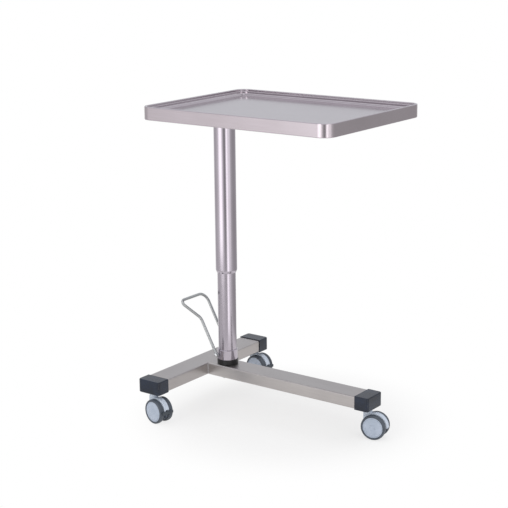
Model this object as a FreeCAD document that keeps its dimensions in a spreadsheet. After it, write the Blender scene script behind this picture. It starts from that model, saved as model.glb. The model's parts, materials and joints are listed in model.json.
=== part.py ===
import FreeCAD, Part
import math
import os
import Sketcher
from FreeCAD import Vector

# Instrument table: a stainless tray on a pumped telescopic column, on a T-shaped base with three castors.
# Millimetres. Z is up, X runs along the long base tube to its single castor, and the floor is at Z = 0.
# The origin is on the floor, in the middle of the castors' and tubes' footprint.

doc = FreeCAD.newDocument("InstrumentTable")
sheet = doc.addObject("Spreadsheet::Sheet", "Sizes")

sizes = {
    # Base: rectangular tubes, measured from the column's axis
    "tubeWidth": 80,
    "tubeHeight": 40,
    "tubeWall": 2.5,
    "tubeCorner": 4,
    "longTubeEnd": 566.3,
    "crossTubeLength": 586,
    "crossTubeOffset": 92.35,
    # End caps, slipped over the tubes
    "capLength": 48,
    "capWall": 2.4,
    "capSlip": 0.1,
    "capEndRound": 8.5,
    "capEdgeRound": 3,
    "stemInset": 21.6,
    # Castors
    "wheelDiameter": 80,
    "wheelWidth": 17,
    "wheelGap": 19,
    "hubDiameter": 66,
    "hubBossDiameter": 18,
    "hubWall": 2.5,
    "hubRecess": 1.5,
    "coverShoulderDiameter": 48,
    "coverFlatDiameter": 20,
    "coverFall": 0.5,
    "tyreShoulder": 3.5,
    "axleDiameter": 8,
    "axleCover": 3.7,
    "trail": 24.3,
    "neckHeight": 14.6,
    "neckDiameter": 26,
    "hoodReach": 42,
    "hoodLip": 2,
    "hoodEdgeRound": 1.5,
    "axleBossDiameter": 20,
    "stemDiameter": 12,
    "stemProud": 3,
    "spindleDiameter": 10,
    "spindleLength": 38,
    "stemCollarDiameter": 22,
    "stemCollarHeight": 2,
    "nutWidth": 18,
    "nutHeight": 10,
    "nutPlateLength": 36,
    "nutPlateThickness": 4,
    "rightSwivel": 11,
    "leftSwivel": -10,
    "backSwivel": -4.2,
    # Brake levers on two castors
    "brakePinDiameter": 4,
    "brakePinReach": 32.5,
    "brakePinRise": 3,
    "brakeEyeDiameter": 10,
    "brakeArmWidth": 12,
    "brakePadWidth": 42,
    "brakePadThickness": 6,
    "brakePadHeight": 10,
    "brakePadRise": 3,
    "brakePadRound": 2,
    "brakeTyreGap": 1.3,
    # Clearances
    "runningGap": 0.05,
    "faceGap": 0.3,
    "sideGap": 0.4,
    # Column
    "ringDiameter": 69,
    "ringHeight": 17,
    "ringRound": 2,
    "collarDiameter": 66,
    "collarHeight": 33,
    "lowerTubeDiameter": 60,
    "lowerTubeWall": 2.5,
    "upperTubeDiameter": 70,
    "upperTubeWall": 2,
    "upperTubeLength": 520,
    "closedGap": 11,
    "topGap": 6,
    "restLift": 250,
    "swageHeight": 10,
    "swageDepth": 3.2,
    "lipGap": 0.6,
    "bushHeight": 30,
    # Foot of the column and its bolts
    "footHeight": 20,
    "boltDiameter": 8,
    "boltCircle": 36,
    "boltHeadWidth": 13,
    "boltHeadHeight": 5.3,
    "boltLength": 18,
    "washerDiameter": 16,
    "washerThickness": 1.6,
    # Pump, ram and pedal drive
    "shaftDiameter": 8,
    "shaftOffset": 20,
    "shaftRise": 32.3,
    "shaftProud": 1,
    "camEyeDiameter": 13,
    "camWidth": 10,
    "camReach": 18,
    "camThickness": 6,
    "standWall": 3.9,
    "standWindowLow": 16,
    "standWindowHigh": 50,
    "blockRise": 62,
    "blockHeight": 40,
    "blockSeat": 5,
    "plungerDiameter": 10,
    "plungerOffset": 4,
    "plungerLength": 40,
    "plungerBoreDepth": 30,
    "plungerFlangeDiameter": 17,
    "plungerFlangeRise": 4.5,
    "plungerFlangeHeight": 2.5,
    "plungerNoseDiameter": 3,
    "springWire": 1.4,
    "springTurns": 4,
    "cylinderDiameter": 36,
    "cylinderWall": 3,
    "glandHeight": 10,
    "glandSpigot": 5,
    "steadyHeight": 15,
    "steadyDrop": 15,
    "rodDiameter": 20,
    "pistonHeight": 15,
    "ramStroke": 390,
    "strokeSpare": 12,
    "rodSpigotDiameter": 12,
    "bearingDiameter": 30,
    "bearingHeight": 5,
    "headHeight": 20,
    # Pedal: a bent rod in a leaning plane
    "pedalRod": 9.5,
    "pedalLean": 28.4,
    "pedalLength": 207.5,
    "pedalKink": 131.7,
    "pedalFlare": 66,
    "kinkRound": 30,
    "tipRound": 10.5,
    "cornerRound": 33,
    "pedalEyeDiameter": 16,
    "pedalEyeWidth": 7,
    # Tray
    "trayLength": 693,
    "trayWidth": 522,
    "trayOffset": 219.5,
    "trayCorner": 38,
    "skirtHeight": 41,
    "sheetThickness": 1.5,
    "trayDepth": 17,
    "rimWidth": 9,
    "rimDrop": 8,
    "rimRound": 2.2,
    "ledgeWidth": 22,
    "ledgeFall": 3,
    "stepRun": 2,
    "floorLap": 2,
    "hemWidth": 14,
    # Tray carrier
    "plateLength": 150,
    "plateWidth": 200,
    "plateThickness": 5,
    "plateCorner": 15,
    "channelInset": 38.5,
    "channelWidth": 50,
    "channelHeight": 18,
    "channelSpacing": 140,
    "screwSpacing": 110,
    "screwDiameter": 6,
    "screwHeadDiameter": 12,
    "screwHeadHeight": 3.5,
    "screwNutWidth": 10,
    "screwNutHeight": 5,
}
for row, (name, number) in enumerate(sizes.items(), 1):
    sheet.set("A%d" % row, name)
    sheet.set("B%d" % row, str(number))
    sheet.setAlias("B%d" % row, name)
doc.recompute()

# Heights above the floor
axle_height = "(Sizes.wheelDiameter / 2)"
cap_bottom = "(Sizes.wheelDiameter + Sizes.neckHeight)"
tube_bottom = f"({cap_bottom} + Sizes.capWall)"
tube_top = f"({tube_bottom} + Sizes.tubeHeight)"
tube_inside = f"({tube_bottom} + Sizes.tubeWall)"
collar_bottom = f"({tube_top} + Sizes.ringHeight)"
collar_top = f"({collar_bottom} + Sizes.collarHeight)"
shaft_height = f"({tube_top} + Sizes.shaftRise)"
foot_top = f"({tube_inside} + Sizes.footHeight)"
block_bottom = f"({tube_top} + Sizes.blockRise)"
block_top = f"({block_bottom} + Sizes.blockHeight)"
cylinder_bottom = f"({block_top} - Sizes.blockSeat)"
cylinder_top = (f"({cylinder_bottom} + Sizes.strokeSpare + Sizes.ramStroke + Sizes.pistonHeight"
                " + Sizes.strokeSpare + Sizes.glandSpigot)")
upper_tube_bottom = f"({collar_top} + Sizes.closedGap + Sizes.restLift)"
upper_tube_top = f"({upper_tube_bottom} + Sizes.upperTubeLength)"
head_bottom = f"({upper_tube_top} - Sizes.headHeight)"
lower_tube_top = f"({head_bottom} - Sizes.restLift - Sizes.topGap)"
rod_shoulder = f"({head_bottom} - Sizes.bearingHeight)"
piston_bottom = f"({cylinder_bottom} + Sizes.strokeSpare + Sizes.restLift)"
plate_top = f"({upper_tube_top} + Sizes.plateThickness)"
tray_floor = f"({plate_top} + Sizes.channelHeight)"

# Plan places: the column's axis and the castor stems
back_reach = "(Sizes.crossTubeOffset + Sizes.tubeWidth / 2 + Sizes.capWall)"
front_reach = "(Sizes.longTubeEnd - Sizes.stemInset + Sizes.trail + Sizes.hoodReach)"
column_x = f"(({back_reach} - {front_reach}) / 2)"
cross_x = f"({column_x} - Sizes.crossTubeOffset)"
tray_x = f"({column_x} + Sizes.trayOffset)"
stem_y = "(Sizes.crossTubeLength / 2 - Sizes.stemInset)"
right_stem_x = f"({column_x} + Sizes.longTubeEnd - Sizes.stemInset)"

# Radii that several pieces share
lower_tube_radius = "(Sizes.lowerTubeDiameter / 2)"
lower_tube_bore = f"({lower_tube_radius} - Sizes.lowerTubeWall)"
upper_tube_radius = "(Sizes.upperTubeDiameter / 2)"
upper_tube_bore = f"({upper_tube_radius} - Sizes.upperTubeWall)"
inner_fit = f"({lower_tube_bore} - Sizes.runningGap)"
outer_fit = f"({upper_tube_bore} - Sizes.runningGap)"
slide_fit = f"({lower_tube_radius} + Sizes.runningGap)"
shaft_bore = "(Sizes.shaftDiameter / 2 + Sizes.runningGap)"

# The pedal's eyes run close beside the collar, and its legs stand in the middle of them
eye_side = ("(sqrt((Sizes.collarDiameter / 2)^2 - (Sizes.shaftOffset - Sizes.pedalEyeDiameter / 2)^2)"
            " + Sizes.faceGap)")
leg = f"({eye_side} + Sizes.pedalEyeWidth / 2)"
cylinder_bore = "(Sizes.cylinderDiameter / 2 - Sizes.cylinderWall)"

pieces = []


def evaluated(expression):
    return float(sheet.evalExpression(expression))


# Bodies and their places
def place(piece, x="0", y="0", z="0", axis=None, angle="0"):
    if axis is not None:
        piece.Placement = FreeCAD.Placement(Vector(), FreeCAD.Rotation(axis, 1))
        piece.setExpression("Placement.Rotation.Angle", f"({angle}) * 1 deg")
    for name, expression in zip("xyz", (x, y, z)):
        piece.setExpression("Placement.Base." + name, expression)


def new_body(label, x="0", y="0", z="0", axis=None, angle="0"):
    body = doc.addObject("PartDesign::Body", label)
    body.Label = label
    body.AllowCompound = True
    place(body, x, y, z, axis, angle)
    pieces.append(body)
    return body


# Sketches: every coordinate and radius is bound to the sizes
def new_sketch(body, plane, right="0", up="0", out="0"):
    sketch = body.newObject("Sketcher::SketchObject", "Sketch")
    origin_plane = next(item for item in body.Origin.OriginFeatures if item.Role == plane)
    sketch.AttachmentSupport = [(origin_plane, "")]
    sketch.MapMode = "FlatFace"
    for name, expression in zip("xyz", (right, up, out)):
        sketch.setExpression("AttachmentOffset.Base." + name, expression)
    return sketch


def bind(sketch, kind, where, expression):
    index = sketch.addConstraint(Sketcher.Constraint(kind, *where, evaluated(expression)))
    sketch.setExpression("Constraints[%d]" % index, expression)


def bind_point(sketch, geometry, position, x, y):
    bind(sketch, "DistanceX", (-1, 1, geometry, position), x)
    bind(sketch, "DistanceY", (-1, 1, geometry, position), y)


def circle(sketch, radius, x="0", y="0"):
    centre = Vector(evaluated(x), evaluated(y), 0)
    index = sketch.addGeometry(Part.Circle(centre, Vector(0, 0, 1), evaluated(radius)), False)
    bind(sketch, "Radius", (index,), radius)
    bind_point(sketch, index, 3, x, y)


# Corners are (x, y) or, with a rounding, (x, y, radius)
def outline(sketch, corners, closed=True):
    points = [Vector(evaluated(corner[0]), evaluated(corner[1]), 0) for corner in corners]
    count = len(corners)
    arrivals = list(points)
    departures = list(points)
    for i, corner in enumerate(corners):
        if len(corner) == 3:
            inward = (points[i] - points[i - 1]).normalize()
            outward = (points[(i + 1) % count] - points[i]).normalize()
            tangent = evaluated(corner[2]) * math.tan(inward.getAngle(outward) / 2)
            arrivals[i] = points[i] - inward * tangent
            departures[i] = points[i] + outward * tangent
    lines = []
    for i in range(count if closed else count - 1):
        ends = Part.LineSegment(departures[i], arrivals[(i + 1) % count])
        lines.append(sketch.addGeometry(ends, False))
    for i, corner in enumerate(corners):
        line_in = lines[i - 1] if closed or i > 0 else None
        line_out = lines[i] if i < len(lines) else None
        if len(corner) == 3:
            round_corner(sketch, corner, points[i], arrivals[i], departures[i], line_in, line_out)
        elif line_out is None:
            bind_point(sketch, line_in, 2, corner[0], corner[1])
        else:
            bind_point(sketch, line_out, 1, corner[0], corner[1])
            if line_in is not None:
                sketch.addConstraint(Sketcher.Constraint("Coincident", line_in, 2, line_out, 1))


def round_corner(sketch, corner, point, arrival, departure, line_in, line_out):
    radius = evaluated(corner[2])
    to_centre = ((arrival - point).normalize() + (departure - point).normalize()).normalize()
    half = (arrival - point).getAngle(departure - point) / 2
    middle = point + to_centre * (radius / math.sin(half) - radius)
    arc = sketch.addGeometry(Part.Arc(arrival, middle, departure), False)
    first = 1 if (sketch.getPoint(arc, 1) - arrival).Length < (sketch.getPoint(arc, 2) - arrival).Length else 2
    mark = sketch.addGeometry(Part.Point(point), True)
    bind_point(sketch, mark, 1, corner[0], corner[1])
    sketch.addConstraint(Sketcher.Constraint("PointOnObject", mark, 1, line_in))
    sketch.addConstraint(Sketcher.Constraint("PointOnObject", mark, 1, line_out))
    sketch.addConstraint(Sketcher.Constraint("Tangent", line_in, 2, arc, first))
    sketch.addConstraint(Sketcher.Constraint("Tangent", line_out, 1, arc, 3 - first))
    bind(sketch, "Radius", (arc,), corner[2])


def rectangle(sketch, left, right, low, high, radius=None):
    ends = ((left, low), (right, low), (right, high), (left, high))
    outline(sketch, [end if radius is None else end + (radius,) for end in ends])


# Features
def volume(body):
    return body.Shape.Volume if body.Tip is not None and not body.Shape.isNull() else 0.0


def extrude(body, kind, sketch, length, both=False, back=False):
    feature = body.newObject("PartDesign::" + kind, kind)
    feature.Profile = sketch
    feature.SideType = "Symmetric" if both else "One side"
    feature.Reversed = back
    if length is None:
        feature.Type = "ThroughAll"
    else:
        feature.setExpression("Length", length)
    return feature


def pad(body, sketch, length, both=False, back=False):
    feature = extrude(body, "Pad", sketch, length, both, back)
    doc.recompute()
    return feature


def pocket(body, sketch, length=None, both=False, back=False):
    before = volume(body)
    feature = extrude(body, "Pocket", sketch, length, both, back)
    doc.recompute()
    if volume(body) >= before:
        raise RuntimeError("a pocket cuts nothing in " + body.Label)
    return feature


def revolve(body, sketch, axis="V_Axis"):
    feature = body.newObject("PartDesign::Revolution", "Revolution")
    feature.Profile = sketch
    feature.ReferenceAxis = (sketch, [axis])
    feature.Angle = 360
    doc.recompute()
    return feature


def fillet(body, edges, radius):
    base = body.Tip
    feature = body.newObject("PartDesign::Fillet", "Fillet")
    feature.Base = (base, edges)
    feature.setExpression("Radius", radius)
    doc.recompute()
    body.Tip = feature
    return feature


def polar(body, feature, count):
    pattern = body.newObject("PartDesign::PolarPattern", "PolarPattern")
    pattern.Originals = [feature]
    pattern.Axis = (next(item for item in body.Origin.OriginFeatures if item.Role == "Z_Axis"), [""])
    pattern.Angle = 360
    pattern.Occurrences = count
    body.Tip = pattern
    doc.recompute()
    return pattern


def straight_edges(body, direction, test=None):
    names = []
    for number, edge in enumerate(body.Tip.Shape.Edges, 1):
        if edge.Curve.TypeId != "Part::GeomLine":
            continue
        along = abs(edge.tangentAt(edge.FirstParameter).dot(direction)) > 0.999
        if along and (test is None or test(edge.CenterOfMass)):
            names.append("Edge%d" % number)
    return names


def round_edges(body, radius, test=None):
    names = []
    for number, edge in enumerate(body.Tip.Shape.Edges, 1):
        if edge.Curve.TypeId != "Part::GeomCircle" or abs(edge.Curve.Radius - evaluated(radius)) > 0.001:
            continue
        if test is None or test(edge.CenterOfMass):
            names.append("Edge%d" % number)
    return names


# A turned ring or bush from one radius to another, standing on Z = 0 of its own frame
def ring(label, inner, outer, height, z, x=column_x):
    body = new_body(label, x, "0", z)
    sketch = new_sketch(body, "XZ_Plane")
    outline(sketch, [(inner, "0"), (outer, "0"), (outer, height), (inner, height)])
    revolve(body, sketch)
    return body


# Base tubes: hollow rectangular section, drilled for the stems and the column
def hollow_section(body, plane, length, start):
    sketch = new_sketch(body, plane, out=start)
    rectangle(sketch, "-Sizes.tubeWidth / 2", "Sizes.tubeWidth / 2", "-Sizes.tubeHeight / 2",
              "Sizes.tubeHeight / 2", "Sizes.tubeCorner")
    half_width = "(Sizes.tubeWidth / 2 - Sizes.tubeWall)"
    half_height = "(Sizes.tubeHeight / 2 - Sizes.tubeWall)"
    rectangle(sketch, "-" + half_width, half_width, "-" + half_height, half_height,
              "Sizes.tubeCorner - Sizes.tubeWall")
    return pad(body, sketch, length)


def drill(body, radius, x="0", y="0", up=False):
    sketch = new_sketch(body, "XY_Plane")
    circle(sketch, radius, x, y)
    return pocket(body, sketch, "Sizes.tubeHeight", back=up)


def make_base_tubes():
    middle = f"({tube_bottom} + Sizes.tubeHeight / 2)"
    stem_hole = "(Sizes.stemDiameter / 2 + Sizes.faceGap)"
    long_tube = new_body("long_base_tube", column_x, "0", middle)
    start = "(Sizes.tubeWidth / 2 - Sizes.crossTubeOffset)"
    hollow_section(long_tube, "YZ_Plane", f"Sizes.longTubeEnd - {start}", start)
    drill(long_tube, stem_hole, "Sizes.longTubeEnd - Sizes.stemInset")
    drill(long_tube, f"{lower_tube_radius} + Sizes.runningGap", up=True)
    bolt_hole = drill(long_tube, "Sizes.boltDiameter / 2 + Sizes.faceGap", "Sizes.boltCircle / 2")
    polar(long_tube, bolt_hole, 4)

    cross_tube = new_body("cross_base_tube", cross_x, "0", middle)
    hollow_section(cross_tube, "XZ_Plane", "Sizes.crossTubeLength", "-Sizes.crossTubeLength / 2")
    drill(cross_tube, stem_hole, "0", stem_y)
    drill(cross_tube, stem_hole, "0", "-" + stem_y)


# End cap: a moulded box over the tube's end, with a hole below for the castor's stem
def make_end_cap(label, x, y, angle):
    body = new_body(label, x, y, f"{tube_bottom} + Sizes.tubeHeight / 2", Vector(0, 0, 1), angle)
    half_width = "(Sizes.tubeWidth / 2 + Sizes.capWall)"
    half_height = "(Sizes.tubeHeight / 2 + Sizes.capWall)"
    depth = "(Sizes.capLength - Sizes.capWall)"
    block = new_sketch(body, "YZ_Plane", out="-" + depth)
    rectangle(block, "-" + half_width, half_width, "-" + half_height, half_height)
    pad(body, block, "Sizes.capLength")
    end_face = evaluated("Sizes.capWall") - 0.01
    fillet(body, straight_edges(body, Vector(0, 0, 1), lambda c: c.x > end_face), "Sizes.capEndRound")
    top = evaluated(half_height) - 0.01
    fillet(body, outer_rims(body, top), "Sizes.capEdgeRound")
    socket = new_sketch(body, "YZ_Plane", out="-" + depth)
    inner_width = "(Sizes.tubeWidth / 2 + Sizes.capSlip)"
    inner_height = "(Sizes.tubeHeight / 2 + Sizes.capSlip)"
    rectangle(socket, "-" + inner_width, inner_width, "-" + inner_height, inner_height, "Sizes.tubeCorner")
    pocket(body, socket, depth, back=True)
    stem_hole = new_sketch(body, "XY_Plane")
    circle(stem_hole, "Sizes.stemDiameter / 2 + Sizes.faceGap", "-Sizes.stemInset")
    pocket(body, stem_hole, half_height)


# The edges round the top and bottom faces of a box-like solid
def outer_rims(body, height):
    names = []
    for number, edge in enumerate(body.Tip.Shape.Edges, 1):
        if all(abs(abs(vertex.Z) - height - 0.01) < 0.001 for vertex in edge.Vertexes):
            if abs(edge.BoundBox.ZLength) < 0.001:
                names.append("Edge%d" % number)
    return names


# Castors, each in a frame of its own at its stem, with the trail along its X
def castor_body(label, corner):
    return new_body(label, corner["x"], corner["y"], "0", Vector(0, 0, 1), corner["swivel"])


def make_stem(name, corner):
    body = castor_body(name + "_stem", corner)
    spindle = "Sizes.spindleDiameter / 2"
    collar = "Sizes.stemCollarDiameter / 2"
    stem = "Sizes.stemDiameter / 2"
    foot = f"{cap_bottom} - Sizes.spindleLength"
    under = f"{cap_bottom} - Sizes.stemCollarHeight"
    top = f"{tube_inside} + Sizes.nutPlateThickness + Sizes.nutHeight + Sizes.stemProud"
    sketch = new_sketch(body, "XZ_Plane")
    outline(sketch, [("0", foot), (spindle, foot), (spindle, under), (collar, under),
                     (collar, cap_bottom), (stem, cap_bottom), (stem, top), ("0", top)])
    revolve(body, sketch)


# Plates with welded nuts, inside the tubes, that the stems are screwed into
def make_stem_nuts():
    body = new_body("stem_nuts", "0", "0", tube_inside)
    for corner in corners.values():
        x, y = corner["x"], corner["y"]
        plate = new_sketch(body, "XY_Plane")
        rectangle(plate, f"{x} - Sizes.nutPlateLength / 2", f"{x} + Sizes.nutPlateLength / 2",
                  f"{y} - Sizes.nutPlateLength / 2", f"{y} + Sizes.nutPlateLength / 2")
        pad(body, plate, "Sizes.nutPlateThickness")
        nut = new_sketch(body, "XY_Plane", out="Sizes.nutPlateThickness")
        hexagon(nut, "Sizes.nutWidth", x, y)
        pad(body, nut, "Sizes.nutHeight")
        bore = new_sketch(body, "XY_Plane")
        circle(bore, "Sizes.stemDiameter / 2 + Sizes.runningGap", x, y)
        pocket(body, bore, back=True)


def hexagon(sketch, width, x="0", y="0"):
    corners = []
    for i in range(6):
        corners.append((f"{x} + {width} / (2 * cos(30 deg)) * cos({60 * i} deg)",
                        f"{y} + {width} / (2 * cos(30 deg)) * sin({60 * i} deg)"))
    outline(sketch, corners)


def make_hood(name, corner):
    body = castor_body(name + "_hood", corner)
    web = "(Sizes.wheelGap - 2 * Sizes.sideGap)"
    neck = "Sizes.neckDiameter / 2"
    neck_low = "(Sizes.wheelDiameter + Sizes.sideGap)"
    neck_top = f"({cap_bottom} - Sizes.stemCollarHeight - Sizes.faceGap)"
    disc = new_sketch(body, "XZ_Plane")
    circle(disc, "Sizes.hoodReach", "Sizes.trail", axle_height)
    pad(body, disc, web, both=True)
    below = new_sketch(body, "XZ_Plane")
    rectangle(below, "Sizes.trail - Sizes.wheelDiameter", "Sizes.trail + Sizes.wheelDiameter",
              "-Sizes.wheelDiameter", f"{axle_height} - Sizes.hoodLip")
    pocket(body, below, web, both=True)
    fillet(body, round_edges(body, "Sizes.hoodReach"), "Sizes.hoodEdgeRound")
    boss = new_sketch(body, "XZ_Plane")
    circle(boss, "Sizes.axleBossDiameter / 2", "Sizes.trail", axle_height)
    pad(body, boss, web, both=True)
    shank = new_sketch(body, "XZ_Plane")
    rectangle(shank, "-" + neck, neck, f"{axle_height} + Sizes.hoodLip", f"{neck_low} + Sizes.hoodLip")
    pad(body, shank, web, both=True)
    neck_ring = new_sketch(body, "XZ_Plane")
    outline(neck_ring, [("0", neck_low), (neck, neck_low), (neck, neck_top), ("0", neck_top)])
    revolve(body, neck_ring)
    spindle = new_sketch(body, "XY_Plane", out=neck_top)
    circle(spindle, "Sizes.spindleDiameter / 2 + Sizes.runningGap")
    pocket(body, spindle, f"Sizes.spindleLength - Sizes.stemCollarHeight - Sizes.faceGap + Sizes.sideGap")
    axle = new_sketch(body, "XZ_Plane")
    circle(axle, "Sizes.axleDiameter / 2 + Sizes.runningGap", "Sizes.trail", axle_height)
    pocket(body, axle, web, both=True)
    if corner["brake"]:
        cut_brake_slot(body, web)
    return body


# Where a brake lever's pad stands, just off the tyres
brake_pad_x = "(Sizes.trail + Sizes.wheelDiameter / 2 + Sizes.brakeTyreGap)"


def cut_brake_slot(body, web):
    notch = new_sketch(body, "XZ_Plane")
    rectangle(notch, f"{brake_pad_x} - Sizes.hoodLip", "Sizes.trail + Sizes.wheelDiameter", "0",
              f"{axle_height} + Sizes.brakePinRise + Sizes.brakePadRise + Sizes.hoodLip")
    pocket(body, notch, web, both=True)
    pin_x = "(Sizes.trail + Sizes.brakePinReach)"
    slot = new_sketch(body, "XZ_Plane")
    rectangle(slot, f"{pin_x} - Sizes.brakeEyeDiameter / 2 - Sizes.hoodLip", "Sizes.trail + Sizes.wheelDiameter",
              "0", f"{axle_height} + Sizes.brakePinRise + Sizes.brakeEyeDiameter / 2 + Sizes.hoodLip")
    pocket(body, slot, "Sizes.brakeArmWidth + 2 * Sizes.faceGap", both=True)
    pin = new_sketch(body, "XZ_Plane")
    circle(pin, "Sizes.brakePinDiameter / 2 + Sizes.runningGap", pin_x, f"{axle_height} + Sizes.brakePinRise")
    pocket(body, pin, web, both=True)


def make_brake(name, corner):
    pin_x = "(Sizes.trail + Sizes.brakePinReach)"
    pin_z = f"({axle_height} + Sizes.brakePinRise)"
    pin = castor_body(name + "_brake_pin", corner)
    rod = new_sketch(pin, "XZ_Plane")
    circle(rod, "Sizes.brakePinDiameter / 2", pin_x, pin_z)
    pad(pin, rod, "Sizes.wheelGap - 2 * Sizes.sideGap", both=True)

    lever = castor_body(name + "_brake_lever", corner)
    eye = new_sketch(lever, "XZ_Plane")
    circle(eye, "Sizes.brakeEyeDiameter / 2", pin_x, pin_z)
    pad(lever, eye, "Sizes.brakeArmWidth", both=True)
    arm = new_sketch(lever, "XZ_Plane")
    rectangle(arm, pin_x, f"{brake_pad_x} + Sizes.hoodLip", f"{pin_z} - Sizes.brakeEyeDiameter / 2", pin_z)
    pad(lever, arm, "Sizes.brakeArmWidth", both=True)
    pad_sketch = new_sketch(lever, "XZ_Plane")
    high = f"{pin_z} + Sizes.brakePadRise"
    rectangle(pad_sketch, brake_pad_x, f"{brake_pad_x} + Sizes.brakePadThickness", f"{high} - Sizes.brakePadHeight", high,
              "Sizes.brakePadRound")
    pad(lever, pad_sketch, "Sizes.brakePadWidth", both=True)
    bore = new_sketch(lever, "XZ_Plane")
    circle(bore, "Sizes.brakePinDiameter / 2 + Sizes.runningGap", pin_x, pin_z)
    pocket(lever, bore, "Sizes.brakeArmWidth", both=True)


def make_axle(name, corner):
    body = castor_body(name + "_axle", corner)
    sketch = new_sketch(body, "XZ_Plane")
    circle(sketch, "Sizes.axleDiameter / 2", "Sizes.trail", axle_height)
    reach = "(Sizes.wheelGap / 2 + Sizes.wheelWidth - Sizes.axleCover - Sizes.faceGap)"
    pad(body, sketch, f"2 * {reach}", both=True)


def make_wheel(name, side, corner):
    sign = "" if side == "far" else "-"
    near = "(Sizes.wheelGap / 2)"
    far = f"({near} + Sizes.wheelWidth)"
    bore = "(Sizes.axleDiameter / 2 + Sizes.runningGap)"
    boss = "(Sizes.hubBossDiameter / 2)"
    rim = "(Sizes.hubDiameter / 2 - Sizes.runningGap)"
    disc_back = f"({far} - Sizes.axleCover - Sizes.hubWall)"

    hub = castor_body(f"{name}_wheel_{side}", corner)
    sketch = new_sketch(hub, "YZ_Plane", up=axle_height, out="Sizes.trail")
    profile = [(f"{near} + Sizes.faceGap", bore), (f"{near} + Sizes.faceGap", boss), (disc_back, boss),
               (disc_back, f"{rim} - 2 * Sizes.hubWall"),
               (f"{near} + Sizes.hubRecess", f"{rim} - Sizes.hubWall"), (f"{near} + Sizes.hubRecess", rim),
               (f"{far} - Sizes.hubRecess", rim), (f"{far} - Sizes.coverFall", "Sizes.coverShoulderDiameter / 2"),
               (far, "Sizes.coverFlatDiameter / 2"), (far, "0"), (f"{far} - Sizes.axleCover", "0"),
               (f"{far} - Sizes.axleCover", bore)]
    outline(sketch, [(sign + f"({y})", r) for y, r in profile])
    revolve(hub, sketch, "H_Axis")

    tyre = castor_body(f"{name}_tyre_{side}", corner)
    sketch = new_sketch(tyre, "YZ_Plane", up=axle_height, out="Sizes.trail")
    tread = "Sizes.wheelDiameter / 2"
    seat = "Sizes.hubDiameter / 2"
    corners = [(near, seat), (near, tread, "Sizes.tyreShoulder"), (far, tread, "Sizes.tyreShoulder"), (far, seat)]
    outline(sketch, [(sign + f"({corner[0]})",) + corner[1:] for corner in corners])
    revolve(tyre, sketch, "H_Axis")


def make_castor(name, corner):
    make_stem(name, corner)
    make_hood(name, corner)
    make_axle(name, corner)
    make_wheel(name, "near", corner)
    make_wheel(name, "far", corner)
    if corner["brake"]:
        make_brake(name, corner)


# Column foot, bolts, cover ring and the collar that carries the pedal
def make_column_foot():
    foot = new_body("column_foot", column_x, "0", tube_inside)
    disc = new_sketch(foot, "XY_Plane")
    circle(disc, inner_fit)
    pad(foot, disc, "Sizes.footHeight")
    hole = new_sketch(foot, "XY_Plane")
    circle(hole, "Sizes.boltDiameter / 2 + Sizes.runningGap", "Sizes.boltCircle / 2")
    polar(foot, pocket(foot, hole, back=True), 4)

    under = f"({tube_bottom} - Sizes.washerThickness)"
    washers = new_body("foot_washers", column_x, "0", under)
    disc = new_sketch(washers, "XY_Plane")
    circle(disc, "Sizes.washerDiameter / 2", "Sizes.boltCircle / 2")
    circle(disc, "Sizes.boltDiameter / 2 + Sizes.faceGap", "Sizes.boltCircle / 2")
    polar(washers, pad(washers, disc, "Sizes.washerThickness"), 4)

    bolts = new_body("foot_bolts", column_x, "0", under)
    for i in range(4):
        x = f"Sizes.boltCircle / 2 * cos({90 * i} deg)"
        y = f"Sizes.boltCircle / 2 * sin({90 * i} deg)"
        head = new_sketch(bolts, "XY_Plane")
        hexagon(head, "Sizes.boltHeadWidth", x, y)
        pad(bolts, head, "Sizes.boltHeadHeight", back=True)
        shank = new_sketch(bolts, "XY_Plane")
        circle(shank, "Sizes.boltDiameter / 2", x, y)
        pad(bolts, shank, "Sizes.boltLength")


def bore_for_shaft(body, radius):
    sketch = new_sketch(body, "XZ_Plane")
    circle(sketch, radius, "-Sizes.shaftOffset", "0")
    pocket(body, sketch, "2 * Sizes.ringDiameter", both=True)


def make_column_base():
    cover = new_body("cover_ring", column_x, "0", tube_top)
    sketch = new_sketch(cover, "XZ_Plane")
    inner = f"{lower_tube_radius} + Sizes.capSlip"
    outer = "Sizes.ringDiameter / 2"
    outline(sketch, [(inner, "0"), (outer, "0"), (outer, "Sizes.ringHeight", "Sizes.ringRound"),
                     (inner, "Sizes.ringHeight")])
    revolve(cover, sketch)

    collar = new_body("pedal_collar", column_x, "0", shaft_height)
    sketch = new_sketch(collar, "XZ_Plane")
    low = f"{collar_bottom} - {shaft_height}"
    high = f"{collar_top} - {shaft_height}"
    outer = "Sizes.collarDiameter / 2"
    outline(sketch, [(slide_fit, low), (outer, low), (outer, high, "Sizes.ringRound / 2"), (slide_fit, high)])
    revolve(collar, sketch)
    bore_for_shaft(collar, shaft_bore)

    tube = new_body("lower_column_tube", column_x, "0", shaft_height)
    sketch = new_sketch(tube, "XZ_Plane")
    low = f"{tube_inside} - {shaft_height}"
    high = f"{lower_tube_top} - {shaft_height}"
    outline(sketch, [(lower_tube_bore, low), (lower_tube_radius, low), (lower_tube_radius, high),
                     (lower_tube_bore, high)])
    revolve(tube, sketch)
    bore_for_shaft(tube, shaft_bore)


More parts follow.
